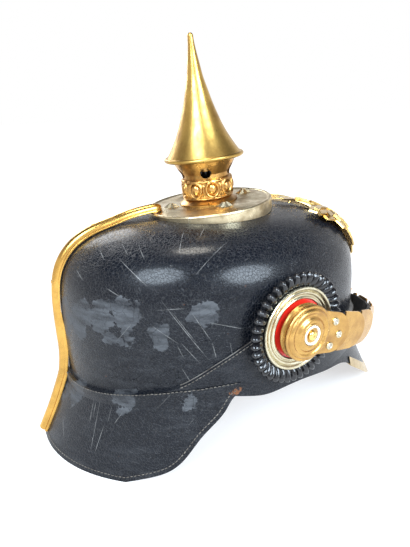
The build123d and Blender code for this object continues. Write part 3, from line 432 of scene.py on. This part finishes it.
def painted(name, light, dark, rough):
    finish = Finish(name, Coat_Roughness=0.12)
    cloud = ranged(finish, clouds(finish, 0.010, 4.0, rough=0.6), 0.38, 0.68)
    chips = ranged(finish, clouds(finish, 0.0022, 4.0, rough=0.7, seed=5.0), 0.68, 0.74)
    colour = mixed(finish, cloud, light, dark)
    colour = mixed(finish, chips * 0.7, colour, tuple(value * 0.4 for value in dark))
    roughness = ranged(finish, cloud, 0.0, 1.0, rough, rough + 0.14) + chips * 0.2
    normal = bumped(finish, clouds(finish, 0.004, 3.0, seed=8.0), 0.00018, 0.5)
    finish.feed(Base_Color=colour, Roughness=roughness, Normal=normal)
    return finish.feed(Coat_Weight=lacquer_coat * (1.0 - chips)).material


silver = old_brass("silver", (0.70, 0.65, 0.48), (0.38, 0.30, 0.17), all_ways, 0.45, (0.24, 0.42), 0.7)
steel = old_brass("steel", (0.56, 0.55, 0.53), (0.26, 0.22, 0.19), all_ways, 0.4, (0.30, 0.46), 0.6)
red_lacquer = painted("red_lacquer", (0.72, 0.022, 0.010), (0.50, 0.014, 0.008), 0.30)
black_lacquer = painted("black_lacquer", (0.004, 0.004, 0.005), (0.009, 0.009, 0.011), 0.17)
print("Silver, steel and lacquer made")


# %% [markdown]
# ## Thread and enamel
# The flaps are sewn to the shell with waxed linen, grey with dust by now. The
# knob in the middle of the rosette has a white enamelled ring round a gilt ball.

# %% Thread and enamel
def simple_finish(name, light, dark, rough, size):
    finish = Finish(name)
    mottle = ranged(finish, clouds(finish, size, 4.0, rough=0.6), 0.35, 0.65)
    fine = clouds(finish, size / 8, 2.0, seed=3.0)
    finish.feed(Base_Color=mixed(finish, mottle, light, dark), Normal=bumped(finish, fine, 0.00008, 0.5))
    return finish.feed(Roughness=ranged(finish, mottle, 0.0, 1.0, rough, rough + 0.15)).material


thread = simple_finish("thread", (0.17, 0.15, 0.125), (0.055, 0.045, 0.036), 0.65, 0.006)
raw_edge = simple_finish("raw_edge", (0.20, 0.185, 0.165), (0.045, 0.034, 0.026), 0.55, 0.012)
enamel = simple_finish("enamel", (0.86, 0.84, 0.78), (0.66, 0.60, 0.48), 0.22, 0.004)
gilt = old_brass("gilt", (0.95, 0.68, 0.22), (0.60, 0.36, 0.10), all_ways, 0.3, (0.14, 0.24), 0.3)
print("Thread, raw edge, enamel and gilt made")


# %% [markdown]
# ## Finishes on the modelled parts
# Each hard part keeps its shape and takes one finish. The finishes read the
# object's own coordinates, so neighbours made of one hide never look copied.

# %% Dress the parts
def dress(name, material):
    part = nodes[name]
    part.data.materials.clear()
    part.data.materials.append(material)


finishes = {"shell": shell_leather, "neck_guard": flap_leather, "front_visor": flap_leather,
            "neck_guard_lining": red_hide, "front_visor_lining": green_hide, "front_visor_trim": trim_brass,
            "rear_spine": spine_brass, "spine_screws": spine_brass, "top_plate": plate_brass,
            "star_studs": plate_brass, "crown_nuts": steel, "spike_neck": neck_brass, "egg_band": neck_brass,
            "spike_socket": neck_brass, "spike": spike_brass, "spike_stem": black_lacquer,
            "front_plate": eagle_brass, "front_plate_posts": eagle_brass, "rosette_bolts": scale_brass,
            "rosette_nuts": steel, "sweatband": brown_hide, "liner": liner_hide, "buckle": scale_brass,
            "strap_tip": scale_brass}
for side in ("right", "left"):
    finishes["cockade_ring_" + side] = black_lacquer
    finishes["cockade_band_" + side] = silver
    finishes["cockade_field_" + side] = red_lacquer
    finishes["rosette_" + side] = scale_brass
    finishes["tab_rivets_" + side] = silver
    finishes["tab_leather_" + side] = brown_hide
    for index in range(1, 7):
        finishes[f"chin_scale_{side}_{index}"] = scale_brass
        finishes[f"strap_leather_{side}_{index}"] = dark_hide
for name, material in finishes.items():
    dress(name, material)
print("Dressed", len(finishes), "of", len(nodes))


# %% [markdown]
# ## Turned and pressed pieces
# Lathe work and pressed rings are all one idea: a section that is carried round
# an axis. If the section may change with the angle, the same few lines make a
# plain bead, a pleated ring, or a band of eggs and darts. Sections are written in
# millimetres in the place's own axes, with Z along the axis of the bolt or spike.

# %% A section carried round
def keep_piece(name, builder, material, body, sharp=38.0):
    """Turn a built mesh into a piece of the helmet."""
    bmesh.ops.remove_doubles(builder, verts=builder.verts, dist=0.000002)
    bmesh.ops.recalc_face_normals(builder, faces=builder.faces)
    mesh = bpy.data.meshes.new(name)
    builder.to_mesh(mesh)
    builder.free()
    mesh.shade_smooth()
    mesh.set_sharp_from_angle(angle=math.radians(sharp))
    mesh.materials.append(material)
    piece = bpy.data.objects.new(name, mesh)
    bpy.context.scene.collection.objects.link(piece)
    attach(piece, body)
    return piece


def skinned(builder, ring, after):
    """Faces between two rings of a closed section."""
    for index in range(len(ring)):
        builder.faces.new((ring[index - 1], ring[index], after[index], after[index - 1]))


def carried_round(section, place, count):
    """A closed section, a list or a function of the angle, carried round the Z axis."""
    builder = bmesh.new()
    rings = []
    for step in range(count):
        angle = 2.0 * math.pi * step / count
        points = section(angle) if callable(section) else section
        flat = Vector((math.cos(angle), math.sin(angle), 0.0))
        spots = [flat * radius + Vector((0.0, 0.0, height)) for radius, height in points]
        rings.append([builder.verts.new(place @ (spot * millimetre)) for spot in spots])
    for ring, after in zip(rings, rings[1:] + rings[:1]):
        skinned(builder, ring, after)
    return builder


def placed(origin, outward, across):
    """A place whose Z points outward and whose X points across, from millimetres."""
    outward = Vector(outward).normalized()
    across = Vector(across).normalized()
    turn = Matrix((across, outward.cross(across), outward)).transposed().to_4x4()
    return Matrix.Translation(Vector(origin) * millimetre) @ turn


bolt_turn, bolt_place = math.radians(10.0), (-91.82, -18.6, 93.8)
side_places = {}
for side, sign in (("right", 1.0), ("left", -1.0)):
    outward = (-math.cos(bolt_turn) * sign, -math.sin(bolt_turn), 0.0)
    across = (math.sin(bolt_turn) * sign, -math.cos(bolt_turn), 0.0)
    side_places[side] = placed((bolt_place[0] * sign, *bolt_place[1:]), outward, across)
spike_lean, spike_foot = math.radians(5.0), (0.0, -0.5, 160.4)
spike_place = placed(spike_foot, (0.0, math.sin(spike_lean), math.cos(spike_lean)), (1.0, 0.0, 0.0))
print("Right bolt at", [round(value, 4) for value in side_places["right"].translation])


# %% [markdown]
# ## The cockade
# A pleated ring of lacquered sheet, folded like a fan and pressed flat against the
# shell, carries a silvered band with rolled edges. The pleats are a zigzag in
# height that also nibbles the outer edge.

# %% Pleats and band
pleat_count, steps_per_pleat = 40, 8
pleat_hole, pleat_inner, pleat_outer, pleat_nibble = 5.0, 28.2, 35.4, 2.2
band_steps, boss_steps, ring_steps, ball_steps, small_steps = 128, 120, 48, 40, 24


def folded(turns):
    """A wave of folds, 0 in the sharp valleys and 1 on the rounded ridges."""
    return abs(math.sin(math.pi * turns))


def pleated_section(angle):
    ridge = folded(angle / (2.0 * math.pi) * pleat_count)
    outer = pleat_outer + pleat_nibble * ridge
    rows = [(pleat_hole, 3.0), (outer, 3.0), (outer, 3.4 + 1.4 * ridge)]
    for share, rise in ((0.10, 2.9), (0.30, 3.5), (0.55, 3.2), (0.80, 2.1), (1.0, 0.7)):
        rows.append((outer + (pleat_inner - outer) * share, 3.5 + rise * ridge))
    return rows + [(27.7, 3.7), (pleat_hole, 3.7)]


band_section = [(20.2, 4.0), (20.2, 5.2), (20.6, 5.7), (21.2, 5.75), (21.8, 5.3), (22.1, 4.8),
                (22.6, 4.75), (23.0, 5.2), (23.6, 5.6), (24.4, 5.6), (24.9, 5.1), (25.2, 4.7),
                (25.6, 4.9), (26.0, 5.6), (26.7, 6.1), (27.6, 6.1), (28.1, 5.6), (28.2, 4.9), (27.7, 4.0)]
for side, place in side_places.items():
    pleats = carried_round(pleated_section, place, pleat_count * steps_per_pleat)
    ring = keep_piece("pleated_ring_" + side, pleats, black_lacquer, "helmet", 42.0)
    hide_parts("cockade_ring_" + side)
    band = carried_round(band_section, place, band_steps)
    band = keep_piece("silver_band_" + side, band, silver, "helmet")
    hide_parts("cockade_band_" + side)
print("Cockades:", len(ring.data.polygons), "faces in a pleated ring")


# %% [markdown]
# ## The rosette
# The boss that holds the chin scales was turned from thick brass: stepped beads
# climb to a knob. A turned skin with those beads sits on the plain boss and swings
# with the strap; the enamelled ring and its ball belong to the bolt and stay.

# %% Boss, ring and ball
boss_section = [(6.7, 15.2), (9.4, 15.15), (16.3, 14.15), (18.05, 13.4), (18.05, 8.1), (18.5, 8.1),
                (18.55, 8.9), (18.15, 9.3), (18.1, 12.4), (18.6, 12.9), (18.65, 13.7), (18.1, 14.3),
                (17.3, 14.4), (16.7, 14.2), (16.3, 14.6), (15.8, 15.5), (15.0, 15.9), (14.1, 15.7),
                (13.6, 15.1), (12.9, 14.85), (12.2, 14.9), (11.5, 15.1), (11.0, 15.6), (10.4, 16.2),
                (9.6, 16.7), (8.8, 16.85), (8.3, 16.65), (7.9, 16.75), (7.6, 17.2), (7.1, 17.25),
                (6.8, 17.0), (6.7, 16.6)]
ring_section = [(4.9, 16.45), (6.5, 16.45), (6.55, 17.0), (6.2, 17.5), (5.6, 17.6), (5.1, 17.2)]
ball_section = [(0.0, 16.5), (3.1, 16.5), (3.15, 17.2), (2.8, 17.75), (2.0, 18.25), (1.0, 18.45),
                (0.0, 18.5)]
for side, place in side_places.items():
    boss = carried_round(boss_section, place, boss_steps)
    boss = keep_piece("turned_boss_" + side, boss, scale_brass, "strap_" + side, 50.0)
    ring = carried_round(ring_section, place, ring_steps)
    keep_piece("enamel_ring_" + side, ring, enamel, "helmet", 60.0)
    ball = carried_round(ball_section, place, ball_steps)
    keep_piece("bolt_ball_" + side, ball, gilt, "helmet", 60.0)
print("Boss:", len(boss.data.polygons), "faces")


# %% [markdown]
# ## Rivets of the tab
# Three hollow rivets hold the first scale: a rolled silver rim round a dark well.
# Their places are read from the modelled rivets, as the middle of each lump, and
# the rims sink a little, so that they stand no higher than the modelled heads.

# %% Rivets
def lumps(name, reach):
    """A part's vertices in separate lumps, each smaller than this reach."""
    groups = []
    for vertex in nodes[name].data.vertices:
        home = [group for group in groups if (group[0] - vertex.co).length < reach]
        if home:
            home[0].append(vertex.co.copy())
        else:
            groups.append([vertex.co.copy()])
    return groups


def joined(builders):
    """Several built meshes as one."""
    whole = bmesh.new()
    for builder in builders:
        mesh = bpy.data.meshes.new("part")
        builder.to_mesh(mesh)
        builder.free()
        whole.from_mesh(mesh)
        bpy.data.meshes.remove(mesh)
    return whole


rivet_sink, rivet_reach = 0.36, 0.0068
rim_section = [(1.35, -1.2), (1.35, -0.3), (1.5, 0.1), (1.9, 0.3), (2.3, 0.05), (2.55, -0.5), (2.6, -1.2)]
well_section = [(0.0, 0.05), (0.5, 0.0), (0.9, -0.15), (1.4, -0.2), (1.4, -1.2), (0.0, -1.2)]
for side, place in side_places.items():
    outward, across = place.col[2].xyz, place.col[0].xyz
    spots = []
    for group in lumps("tab_rivets_" + side, rivet_reach):
        middle = sum(group, Vector()) / len(group)
        top = max((point - middle).dot(outward) for point in group)
        spots.append(placed((middle + outward * top) / millimetre - outward * rivet_sink, outward, across))
    rims = joined([carried_round(rim_section, spot, small_steps) for spot in spots])
    rims = keep_piece("rivet_rims_" + side, rims, silver, "strap_" + side, 70.0)
    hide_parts("tab_rivets_" + side)
    wells = joined([carried_round(well_section, spot, small_steps) for spot in spots])
    keep_piece("rivet_wells_" + side, wells, steel, "strap_" + side, 70.0)
print("Rivets:", len(spots), "a side")


# %% [markdown]
# ## The spine
# A brass strip with a half-round rib runs down the back, from a rounded tongue on
# the top plate to the guard's edge. Its section is carried along the line on
# which the modelled strip lies, and the tongue is the same section drawn in.

# %% The rib
spine_line = [(37.5, 160.0), (47.5, 159.1), (61.0, 157.0), (74.9, 153.1), (84.5, 150.4), (92.6, 147.1),
              (99.4, 143.1), (105.0, 138.2), (109.5, 132.4), (113.0, 125.5), (115.4, 117.0),
              (116.9, 105.8), (117.6, 92.8), (117.8, 80.0), (118.0, 64.7), (119.9, 50.4), (122.2, 42.7),
              (130.7, 22.7), (140.8, 2.6)]
tongue_length = 6.5
rib_half, strip_half = 4.1, 6.1
rib_high, rib_drop, drop_start = 5.4, 0.6, 60
foot_high, foot_drop, foot_level, foot_run = 0.1, 1.2, 98.0, 14.0
arc_steps, steps_per_point = 12, 6


def smooth_line(points, count):
    """Points along a curve that passes through the given points."""
    line = []
    padded = [points[0]] + points + [points[-1]]
    for index in range(len(points) - 1):
        before, start, end, after = (Vector(point) for point in padded[index:index + 4])
        for step in range(count):
            share = step / count
            bend = (end - before) * share + (before * 2.0 - start * 5.0 + end * 4.0 - after) * share ** 2
            line.append(start + (bend + (start * 3.0 - before - end * 3.0 + after) * share ** 3) / 2.0)
    return line + [Vector(points[-1])]


def rib_section(height, narrow, foot):
    """Across and height of the strip with its rib, drawn in by a share, down to a foot."""
    edge = [(strip_half - 0.1, foot), (strip_half, 0.8), (strip_half - 0.3, 1.3), (strip_half - 0.9, 1.3),
            (strip_half - 1.2, 1.0), (rib_half + 0.2, 0.95)]
    arc = []
    for step in range(arc_steps + 1):
        turn = math.pi * step / arc_steps
        arc.append((rib_half * math.cos(turn), 1.0 + (height - 1.0) * math.sin(turn) ** 0.85))
    rows = edge + arc + [(-across, rise) for across, rise in reversed(edge)]
    return [(across * narrow, rise) for across, rise in rows]


def spine_piece():
    builder = bmesh.new()
    line = smooth_line(spine_line, steps_per_point)
    rings, run = [], 0.0
    for index, point in enumerate(line):
        ahead, behind = line[min(index + 1, len(line) - 1)], line[max(index - 1, 0)]
        along = (ahead - behind).normalized()
        outward = Vector((0.0, -along.y, along.x))
        run += (point - behind).length if index else 0.0
        narrow = math.sqrt(1.0 - (1.0 - min(1.0, (run + 0.2) / tongue_length)) ** 2)
        past_start = max(0.0, (index - drop_start) / (len(line) - 1 - drop_start))
        height = (rib_high - rib_drop * past_start) * (0.5 + 0.5 * narrow)
        foot = foot_high - foot_drop * min(1.0, max(0.0, (foot_level - point.y) / foot_run))
        spots = [Vector((across, point.x, point.y)) + outward * rise
                 for across, rise in rib_section(height, narrow, foot)]
        rings.append([builder.verts.new(spot * millimetre) for spot in spots])
    for ring, after in zip(rings, rings[1:]):
        skinned(builder, ring, after)
    builder.faces.new(rings[0])
    builder.faces.new(rings[-1])
    return line, keep_piece("ribbed_spine", builder, spine_brass, "helmet", 40.0)


spine_curve, spine = spine_piece()
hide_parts("rear_spine")
nail_section = [(0.0, 4.6), (1.5, 4.6), (1.5, 5.2), (1.2, 5.5), (0.6, 5.68), (0.0, 5.72)]
screw_reach = 0.016
nails = []
for group in lumps("spine_screws", screw_reach):
    middle = sum(group, Vector()) / len(group) / millimetre
    index = min(range(1, len(spine_curve) - 1), key=lambda at: (spine_curve[at] - middle.yz).length)
    along = (spine_curve[index + 1] - spine_curve[index - 1]).normalized()
    nails.append(placed((0.0, *spine_curve[index]), (0.0, -along.y, along.x), (1.0, 0.0, 0.0)))
heads = joined([carried_round(nail_section, nail, small_steps) for nail in nails])
heads = keep_piece("spine_nails", heads, spine_brass, "helmet", 50.0)
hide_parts("spine_screws")
print("Spine:", len(spine.data.polygons), "faces,", len(nails), "nails")


# %% [markdown]
# ## The egg band
# The neck carries a pressed band of eggs in frames, with darts between them. It is
# relief on a cylinder, so it is drawn as a height over the angle and the height of
# the band: half an ellipsoid for an egg, a rounded ring for its frame.

# %% Eggs and darts
egg_count = 9
egg_turn = math.radians(129.5)
band_radius, band_inside = 18.0, 17.45
band_low, band_high = 6.4, 20.8
egg_rows, steps_per_egg = 44, 36
egg_across, egg_up, egg_rise = 3.0, 3.9, 2.0
frame_across, frame_up, frame_rise = 4.5, 5.4, 1.25


def bump(distance, width):
    """A rounded ridge of a given half width, 1 at its crest."""
    inside = max(0.0, 1.0 - (distance / width) ** 2)
    return math.sqrt(inside)


def egg_relief(angle, up):
    """How far the band stands out at an angle and at a share of its height from -1 to 1."""
    pitch = 2.0 * math.pi / egg_count
    offset = ((angle - egg_turn + pitch / 2) % pitch) - pitch / 2
    across = offset * band_radius
    rise = up * (band_high - band_low) / 2
    half = pitch * band_radius / 2
    egg = egg_rise * math.sqrt(max(0.0, 1.0 - (across / egg_across) ** 2 - ((rise - 0.2) / egg_up) ** 2))
    frame_reach = math.hypot(across / frame_across, (rise - 0.1) / frame_up)
    frame = frame_rise * bump(frame_reach - 1.0, 0.20)
    dart = 0.9 * bump(half - abs(across), 0.8) * bump(rise + 0.6, 4.2)
    scallop = bump(rise - 6.3 + 0.9 * (across / half) ** 2, 0.9)
    foot = bump(rise + 6.4, 0.8)
    return max(egg, frame, dart, scallop, foot)


def egg_section(angle):
    rows = [(band_inside, band_low)]
    for step in range(egg_rows + 1):
        up = -1.0 + 2.0 * step / egg_rows
        height = band_low + (band_high - band_low) * step / egg_rows
        rows.append((band_radius + egg_relief(angle, up), height))
    return rows + [(band_inside, band_high)]


eggs = carried_round(egg_section, spike_place, egg_count * steps_per_egg)
eggs = keep_piece("egg_and_dart_band", eggs, neck_brass, "helmet", 60.0)
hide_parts("egg_band")
print("Egg band:", len(eggs.data.polygons), "faces")


# %% [markdown]
# ## The top plate
# The plate is pressed with four broad petals, one under each star, and its rim is
# rolled. A thin pressed skin over the flat plate gives it both.

# %% Petals and rim
petal_inner, petal_outer = 21.8, 43.6
petal_low, petal_rise, petal_rows = 1.62, 1.7, 15
plate_steps = 192


def petal_section(angle):
    petal = (0.5 + 0.5 * math.cos(4.0 * angle)) ** 0.7
    rows = [(petal_inner, 1.75), (petal_inner, 2.2)]
    for step in range(1, petal_rows):
        share = step / petal_rows
        radius = petal_inner + (petal_outer - petal_inner) * share
        swell = math.sin(math.pi * share) ** 0.8
        ripple = 0.12 * math.sin(8.0 * angle) * swell
        height = petal_low + petal_rise * petal * swell + ripple * (1.0 - petal) + 0.35 * (1.0 - share) ** 3
        rows.append((radius, height))
    rim = [(43.6, 1.6), (44.2, 1.7), (44.6, 2.1), (45.3, 2.45), (46.2, 2.35), (46.8, 1.8), (46.95, 0.9),
           (46.85, 0.5)]
    return rows + rim + [(46.82, 1.2), (45.7, 2.0), (43.6, 1.45)]


petals = carried_round(petal_section, spike_place, plate_steps)
petals = keep_piece("pressed_petals", petals, plate_brass, "helmet", 50.0)
print("Petals:", len(petals.data.polygons), "faces")


# %% [markdown]
# ## Sewn edges
# Guard and visor are sewn to the shell along their upper edge, and a second row of
# stitches runs round the guard's rim. A ray towards the helmet's axis finds the
# leather at any height, so halving a height step finds the edge, and a short step
# across the surface gives the line of the stitches. Each stitch is a small bowed
# thread. A welt of thin hide closes the seam between the guard and the shell.

# %% Finding an edge
ray_start, ray_length = 0.30, 0.29
largest_gap = 0.006
edge_points, halvings = 260, 9


def tree_of(name):
    mesh = nodes[name].data
    corners = [vertex.co for vertex in mesh.vertices]
    return BVHTree.FromPolygons(corners, [face.vertices for face in mesh.polygons])


def leather_at(tree, angle, height):
    """Where a level ray towards the axis meets the leather, or None."""
    outward = Vector((-math.sin(angle), math.cos(angle), 0.0))
    start = outward * ray_start + Vector((0.0, 0.0, height))
    return tree.ray_cast(start, -outward, ray_length)[:2]


def edge_at(tree, angle, upper, low=-0.003, high=0.110, step=0.002):
    """The lowest or the highest point of the leather at an angle."""
    heights = [low + step * index for index in range(int((high - low) / step) + 1)]
    if upper:
        heights.reverse()
    for height in heights:
        if leather_at(tree, angle, height)[0] is not None:
            inside, outside = height, height + (step if upper else -step)
            for _ in range(halvings):
                middle = (inside + outside) / 2
                if leather_at(tree, angle, middle)[0] is None:
                    outside = middle
                else:
                    inside = middle
            return leather_at(tree, angle, inside)
    return None, None


def edge_line(tree, start, end, upper):
    """Points and normals along an edge, between two angles in degrees."""
    line = []
    for index in range(edge_points + 1):
        angle = math.radians(start + (end - start) * index / edge_points)
        point, normal = edge_at(tree, angle, upper)
        if point is not None:
            line.append((point, normal))
    return line


def moved_in(tree, line, inset):
    """The line, moved across the leather away from its edge."""
    moved = []
    for (before, _), (point, normal), (after, _) in zip(line, line[1:], line[2:]):
        across = normal.cross((after - before).normalized()).normalized()
        trials = [tree.find_nearest(point + across * inset * way) for way in (1.0, -1.0)]
        moved.append(min(trials, key=lambda found: abs((found[0] - point).length - inset))[:2])
    return moved


guard_tree, visor_tree = tree_of("neck_guard"), tree_of("front_visor")
guard_rim = edge_line(guard_tree, -78.0, 78.0, False)
guard_top = edge_line(guard_tree, -78.0, 78.0, True)
visor_top_right = edge_line(visor_tree, 55.0, 180.0, True)
visor_top_left = edge_line(visor_tree, -180.0, -55.0, True)
print("Guard rim", len(guard_rim), "points; visor", len(visor_top_right) + len(visor_top_left))


# %% Thread, welt and worn edges
half_circle = [math.pi * side / 4 for side in range(5)]
full_circle = [math.pi * side / 3 for side in range(6)]


def evenly(line, pitch):
    """Places along a line, one pitch apart, with their directions and normals."""
    places, carried = [], 0.0
    for (point, normal), (after, _) in zip(line, line[1:]):
        step = after - point
        length = step.length
        if length > largest_gap:
            carried = 0.0
            continue
        while carried < length:
            places.append((point + step * (carried / length), step.normalized(), normal))
            carried += pitch
        carried -= length
    return places


def sewn(name, lines, pitch=0.0027, length=0.0020, width=0.00034, rise=0.00030):
    """A row of stitches: each one dips into the leather at both ends."""
    builder = bmesh.new()
    for line in lines:
        for point, along, normal in evenly(line, pitch):
            across = normal.cross(along).normalized()
            rings = []
            for step in range(5):
                share = step / 4
                lift = rise * math.sin(math.pi * share) - 0.00008
                half = width * (0.45 + 0.55 * math.sin(math.pi * share))
                middle = point + along * length * (share - 0.5)
                spots = [middle + across * half * math.cos(turn) + normal * (lift + half * math.sin(turn))
                         for turn in half_circle]
                rings.append([builder.verts.new(spot) for spot in spots])
            for ring, after in zip(rings, rings[1:]):
                for index in range(4):
                    builder.faces.new((ring[index], ring[index + 1], after[index + 1], after[index]))
    return keep_piece(name, builder, thread, "helmet", 60.0)


def worn_edge(name, lines, radius=0.00034):
    """The bare fibre along a cut edge, as a thin bead of leather."""
    builder = bmesh.new()
    for line in lines:
        rings = []
        for index in range(len(line)):
            point, normal = line[index]
            along = (line[min(index + 1, len(line) - 1)][0] - line[max(index - 1, 0)][0]).normalized()
            across = normal.cross(along).normalized()
            spots = [point + (across * math.cos(turn) + normal * math.sin(turn)) * radius
                     for turn in full_circle]
            rings.append((point, [builder.verts.new(spot) for spot in spots]))
        for (point, ring), (next_point, after) in zip(rings, rings[1:]):
            if (next_point - point).length <= largest_gap:
                skinned(builder, ring, after)
    return keep_piece(name, builder, raw_edge, "helmet", 60.0)


def seam_welt(name, line, cover=0.0012, climb=0.0022, lift=0.00030):
    """A strip of hide folded over a flap's upper edge, from the flap to the shell above it."""
    builder = bmesh.new()
    shell_tree = tree_of("shell")
    upward = Vector((0.0, 0.0, 1.0))
    rings = []
    for point, normal in line:
        above, outward = shell_tree.find_nearest(point + upward * climb)[:2]
        spots = [point - upward * cover + normal * 0.0001, point + normal * lift,
                 (point + above) / 2 + normal * lift, above + outward * 0.0001, above - outward * 0.0006,
                 point - upward * cover - normal * 0.0006]
        rings.append([builder.verts.new(spot) for spot in spots])
    for ring, after in zip(rings, rings[1:]):
        skinned(builder, ring, after)
    builder.faces.new(rings[0])
    builder.faces.new(rings[-1])
    return keep_piece(name, builder, flap_leather, "helmet", 60.0)


rows = {"guard_rim_thread": [moved_in(guard_tree, guard_rim, 0.0030)],
        "guard_seam_thread": [moved_in(guard_tree, guard_top, 0.0030)],
        "visor_seam_thread": [moved_in(visor_tree, line, 0.0032)
                              for line in (visor_top_right, visor_top_left)]}
faces_per_stitch = 4 * 4
for name, lines in rows.items():
    piece = sewn(name, lines)
    print(name, len(piece.data.polygons) // faces_per_stitch, "stitches")
seam_welt("guard_welt", guard_top)
worn_edge("visor_worn_edge", [visor_top_right, visor_top_left])


# %% [markdown]
# ## The studio
# A white sweep, as in a catalogue picture: away from the helmet the floor looks
# white to the camera and to the metal, and it keeps the helmet's shadow. Near the
# helmet its glow is painted grey, a painted shadow that fades to white further out.
# The room above it is dim, so that the brass and the lacquer have something dark to
# mirror, and two round windows put the two soft blue lights on the dome.

# %% Floor and light
# The floor's glow is painted grey near the helmet: a painted shadow round it, fading to white further out.
floor_half, painted_shadow_reach, white_reach = 30.0, 0.22, 0.75
painted_shadow_grey, room_grey = (0.64, 0.64, 0.65), (0.15, 0.15, 0.16, 1.0)
floor_level, room_level = 0.30, 0.62


def pale_stage():
    mesh = bpy.data.meshes.new("floor")
    builder = bmesh.new()
    bmesh.ops.create_grid(builder, x_segments=1, y_segments=1, size=floor_half)
    builder.to_mesh(mesh)
    builder.free()
    floor = bpy.data.objects.new("floor", mesh)
    bpy.context.scene.collection.objects.link(floor)
    finish = Finish("floor_paper", Roughness=0.95, Base_Color=(0.42, 0.42, 0.42, 1.0), Specular_IOR_Level=0.0)
    # Painted shadow: the glow is grey near the helmet and white further out.
    away = ranged(finish, reach_of(finish, (0.0, 0.0, 0.0)), painted_shadow_reach, white_reach)
    rays = finish.tree.nodes.new("ShaderNodeLightPath")
    seen = Wire(finish, rays.outputs["Is Camera Ray"]) + Wire(finish, rays.outputs["Is Glossy Ray"])
    seen = seen + Wire(finish, rays.outputs["Is Transmission Ray"])
    finish.feed(Emission_Color=mixed(finish, away, painted_shadow_grey, (1.0, 1.0, 1.0)))
    finish.feed(Emission_Strength=ranged(finish, seen, 0.0, 1.0))
    mesh.materials.append(finish.material)


def round_lamp(name, place, size, power, colour):
    lamp = bpy.data.lights.new(name, "AREA")
    lamp.shape = "DISK"
    lamp.size = size
    lamp.energy = power
    lamp.color = colour
    holder = bpy.data.objects.new(name, lamp)
    holder.location = place
    holder.rotation_euler = (dome - Vector(place)).to_track_quat("-Z", "Y").to_euler()
    bpy.context.scene.collection.objects.link(holder)


def studio_world():
    world = bpy.data.worlds.new("studio")
    bpy.context.scene.world = world
    world.use_nodes = True
    tree = world.node_tree
    background = tree.nodes["Background"]
    where = tree.nodes.new("ShaderNodeTexCoord")
    split = tree.nodes.new("ShaderNodeSeparateXYZ")
    tree.links.new(where.outputs["Generated"], split.inputs[0])
    room = tree.nodes.new("ShaderNodeValToRGB")
    room.color_ramp.elements[0].position = floor_level
    room.color_ramp.elements[0].color = (1.0, 1.0, 1.0, 1.0)
    room.color_ramp.elements[1].position = room_level
    room.color_ramp.elements[1].color = room_grey
    tree.links.new(split.outputs["Z"], room.inputs["Fac"])
    rays = tree.nodes.new("ShaderNodeLightPath")
    pick = tree.nodes.new("ShaderNodeMix")
    pick.data_type = "RGBA"
    pick.inputs[7].default_value = (1.0, 1.0, 1.0, 1.0)
    tree.links.new(rays.outputs["Is Camera Ray"], pick.inputs[0])
    tree.links.new(room.outputs["Color"], pick.inputs[6])
    tree.links.new(pick.outputs[2], background.inputs["Color"])
    background.inputs["Strength"].default_value = 1.0


pale_stage()
studio_world()
dome = Vector((-0.05, 0.03, 0.12))
window_blue, ceiling_warm, plain_white = (0.76, 0.88, 1.0), (1.0, 0.95, 0.85), (1.0, 1.0, 1.0)
round_lamp("rear_window", (-0.60, 0.65, 0.89), 0.62, 20.0, window_blue)
round_lamp("side_window", (-0.97, -0.31, 0.71), 0.62, 20.0, window_blue)
round_lamp("ceiling", (0.09, -0.02, 1.25), 0.30, 5.0, ceiling_warm)
round_lamp("far_fill", (0.9, 0.2, 0.6), 0.5, 4.0, plain_white)
bpy.context.scene.view_settings.view_transform = "Standard"
print("Stage lit")


# %% [markdown]
# ## The camera
# The picture looks at the helmet from its rear right and from above, with a wide
# lens about 40 cm away. The place and tilt below were fitted to points of the
# spike, the cockade, the guard and the visor.

# %% Camera
def photo_camera():
    data = bpy.data.cameras.new("photo")
    data.sensor_width = 36.0
    data.lens = 29.77
    camera = bpy.data.objects.new("photo", data)
    across = Vector((-0.3802, -0.9243, -0.0347))
    upward = Vector((0.2947, -0.1566, 0.9427))
    backward = -Vector((0.8767, -0.3482, -0.3319))
    turn = Matrix((across, upward, backward)).transposed().to_4x4()
    camera.matrix_world = Matrix.Translation((-0.3161, 0.1306, 0.2245)) @ turn
    bpy.context.scene.collection.objects.link(camera)
    bpy.context.scene.camera = camera
    return camera


camera = photo_camera()
print("Camera at", [round(value, 3) for value in camera.matrix_world.translation])


# %% [markdown]
# ## Last update
# The view layer is brought up to date once more at the end. The visual model
# may not outgrow the modelled one.

# %% Last update
bpy.context.view_layer.update()
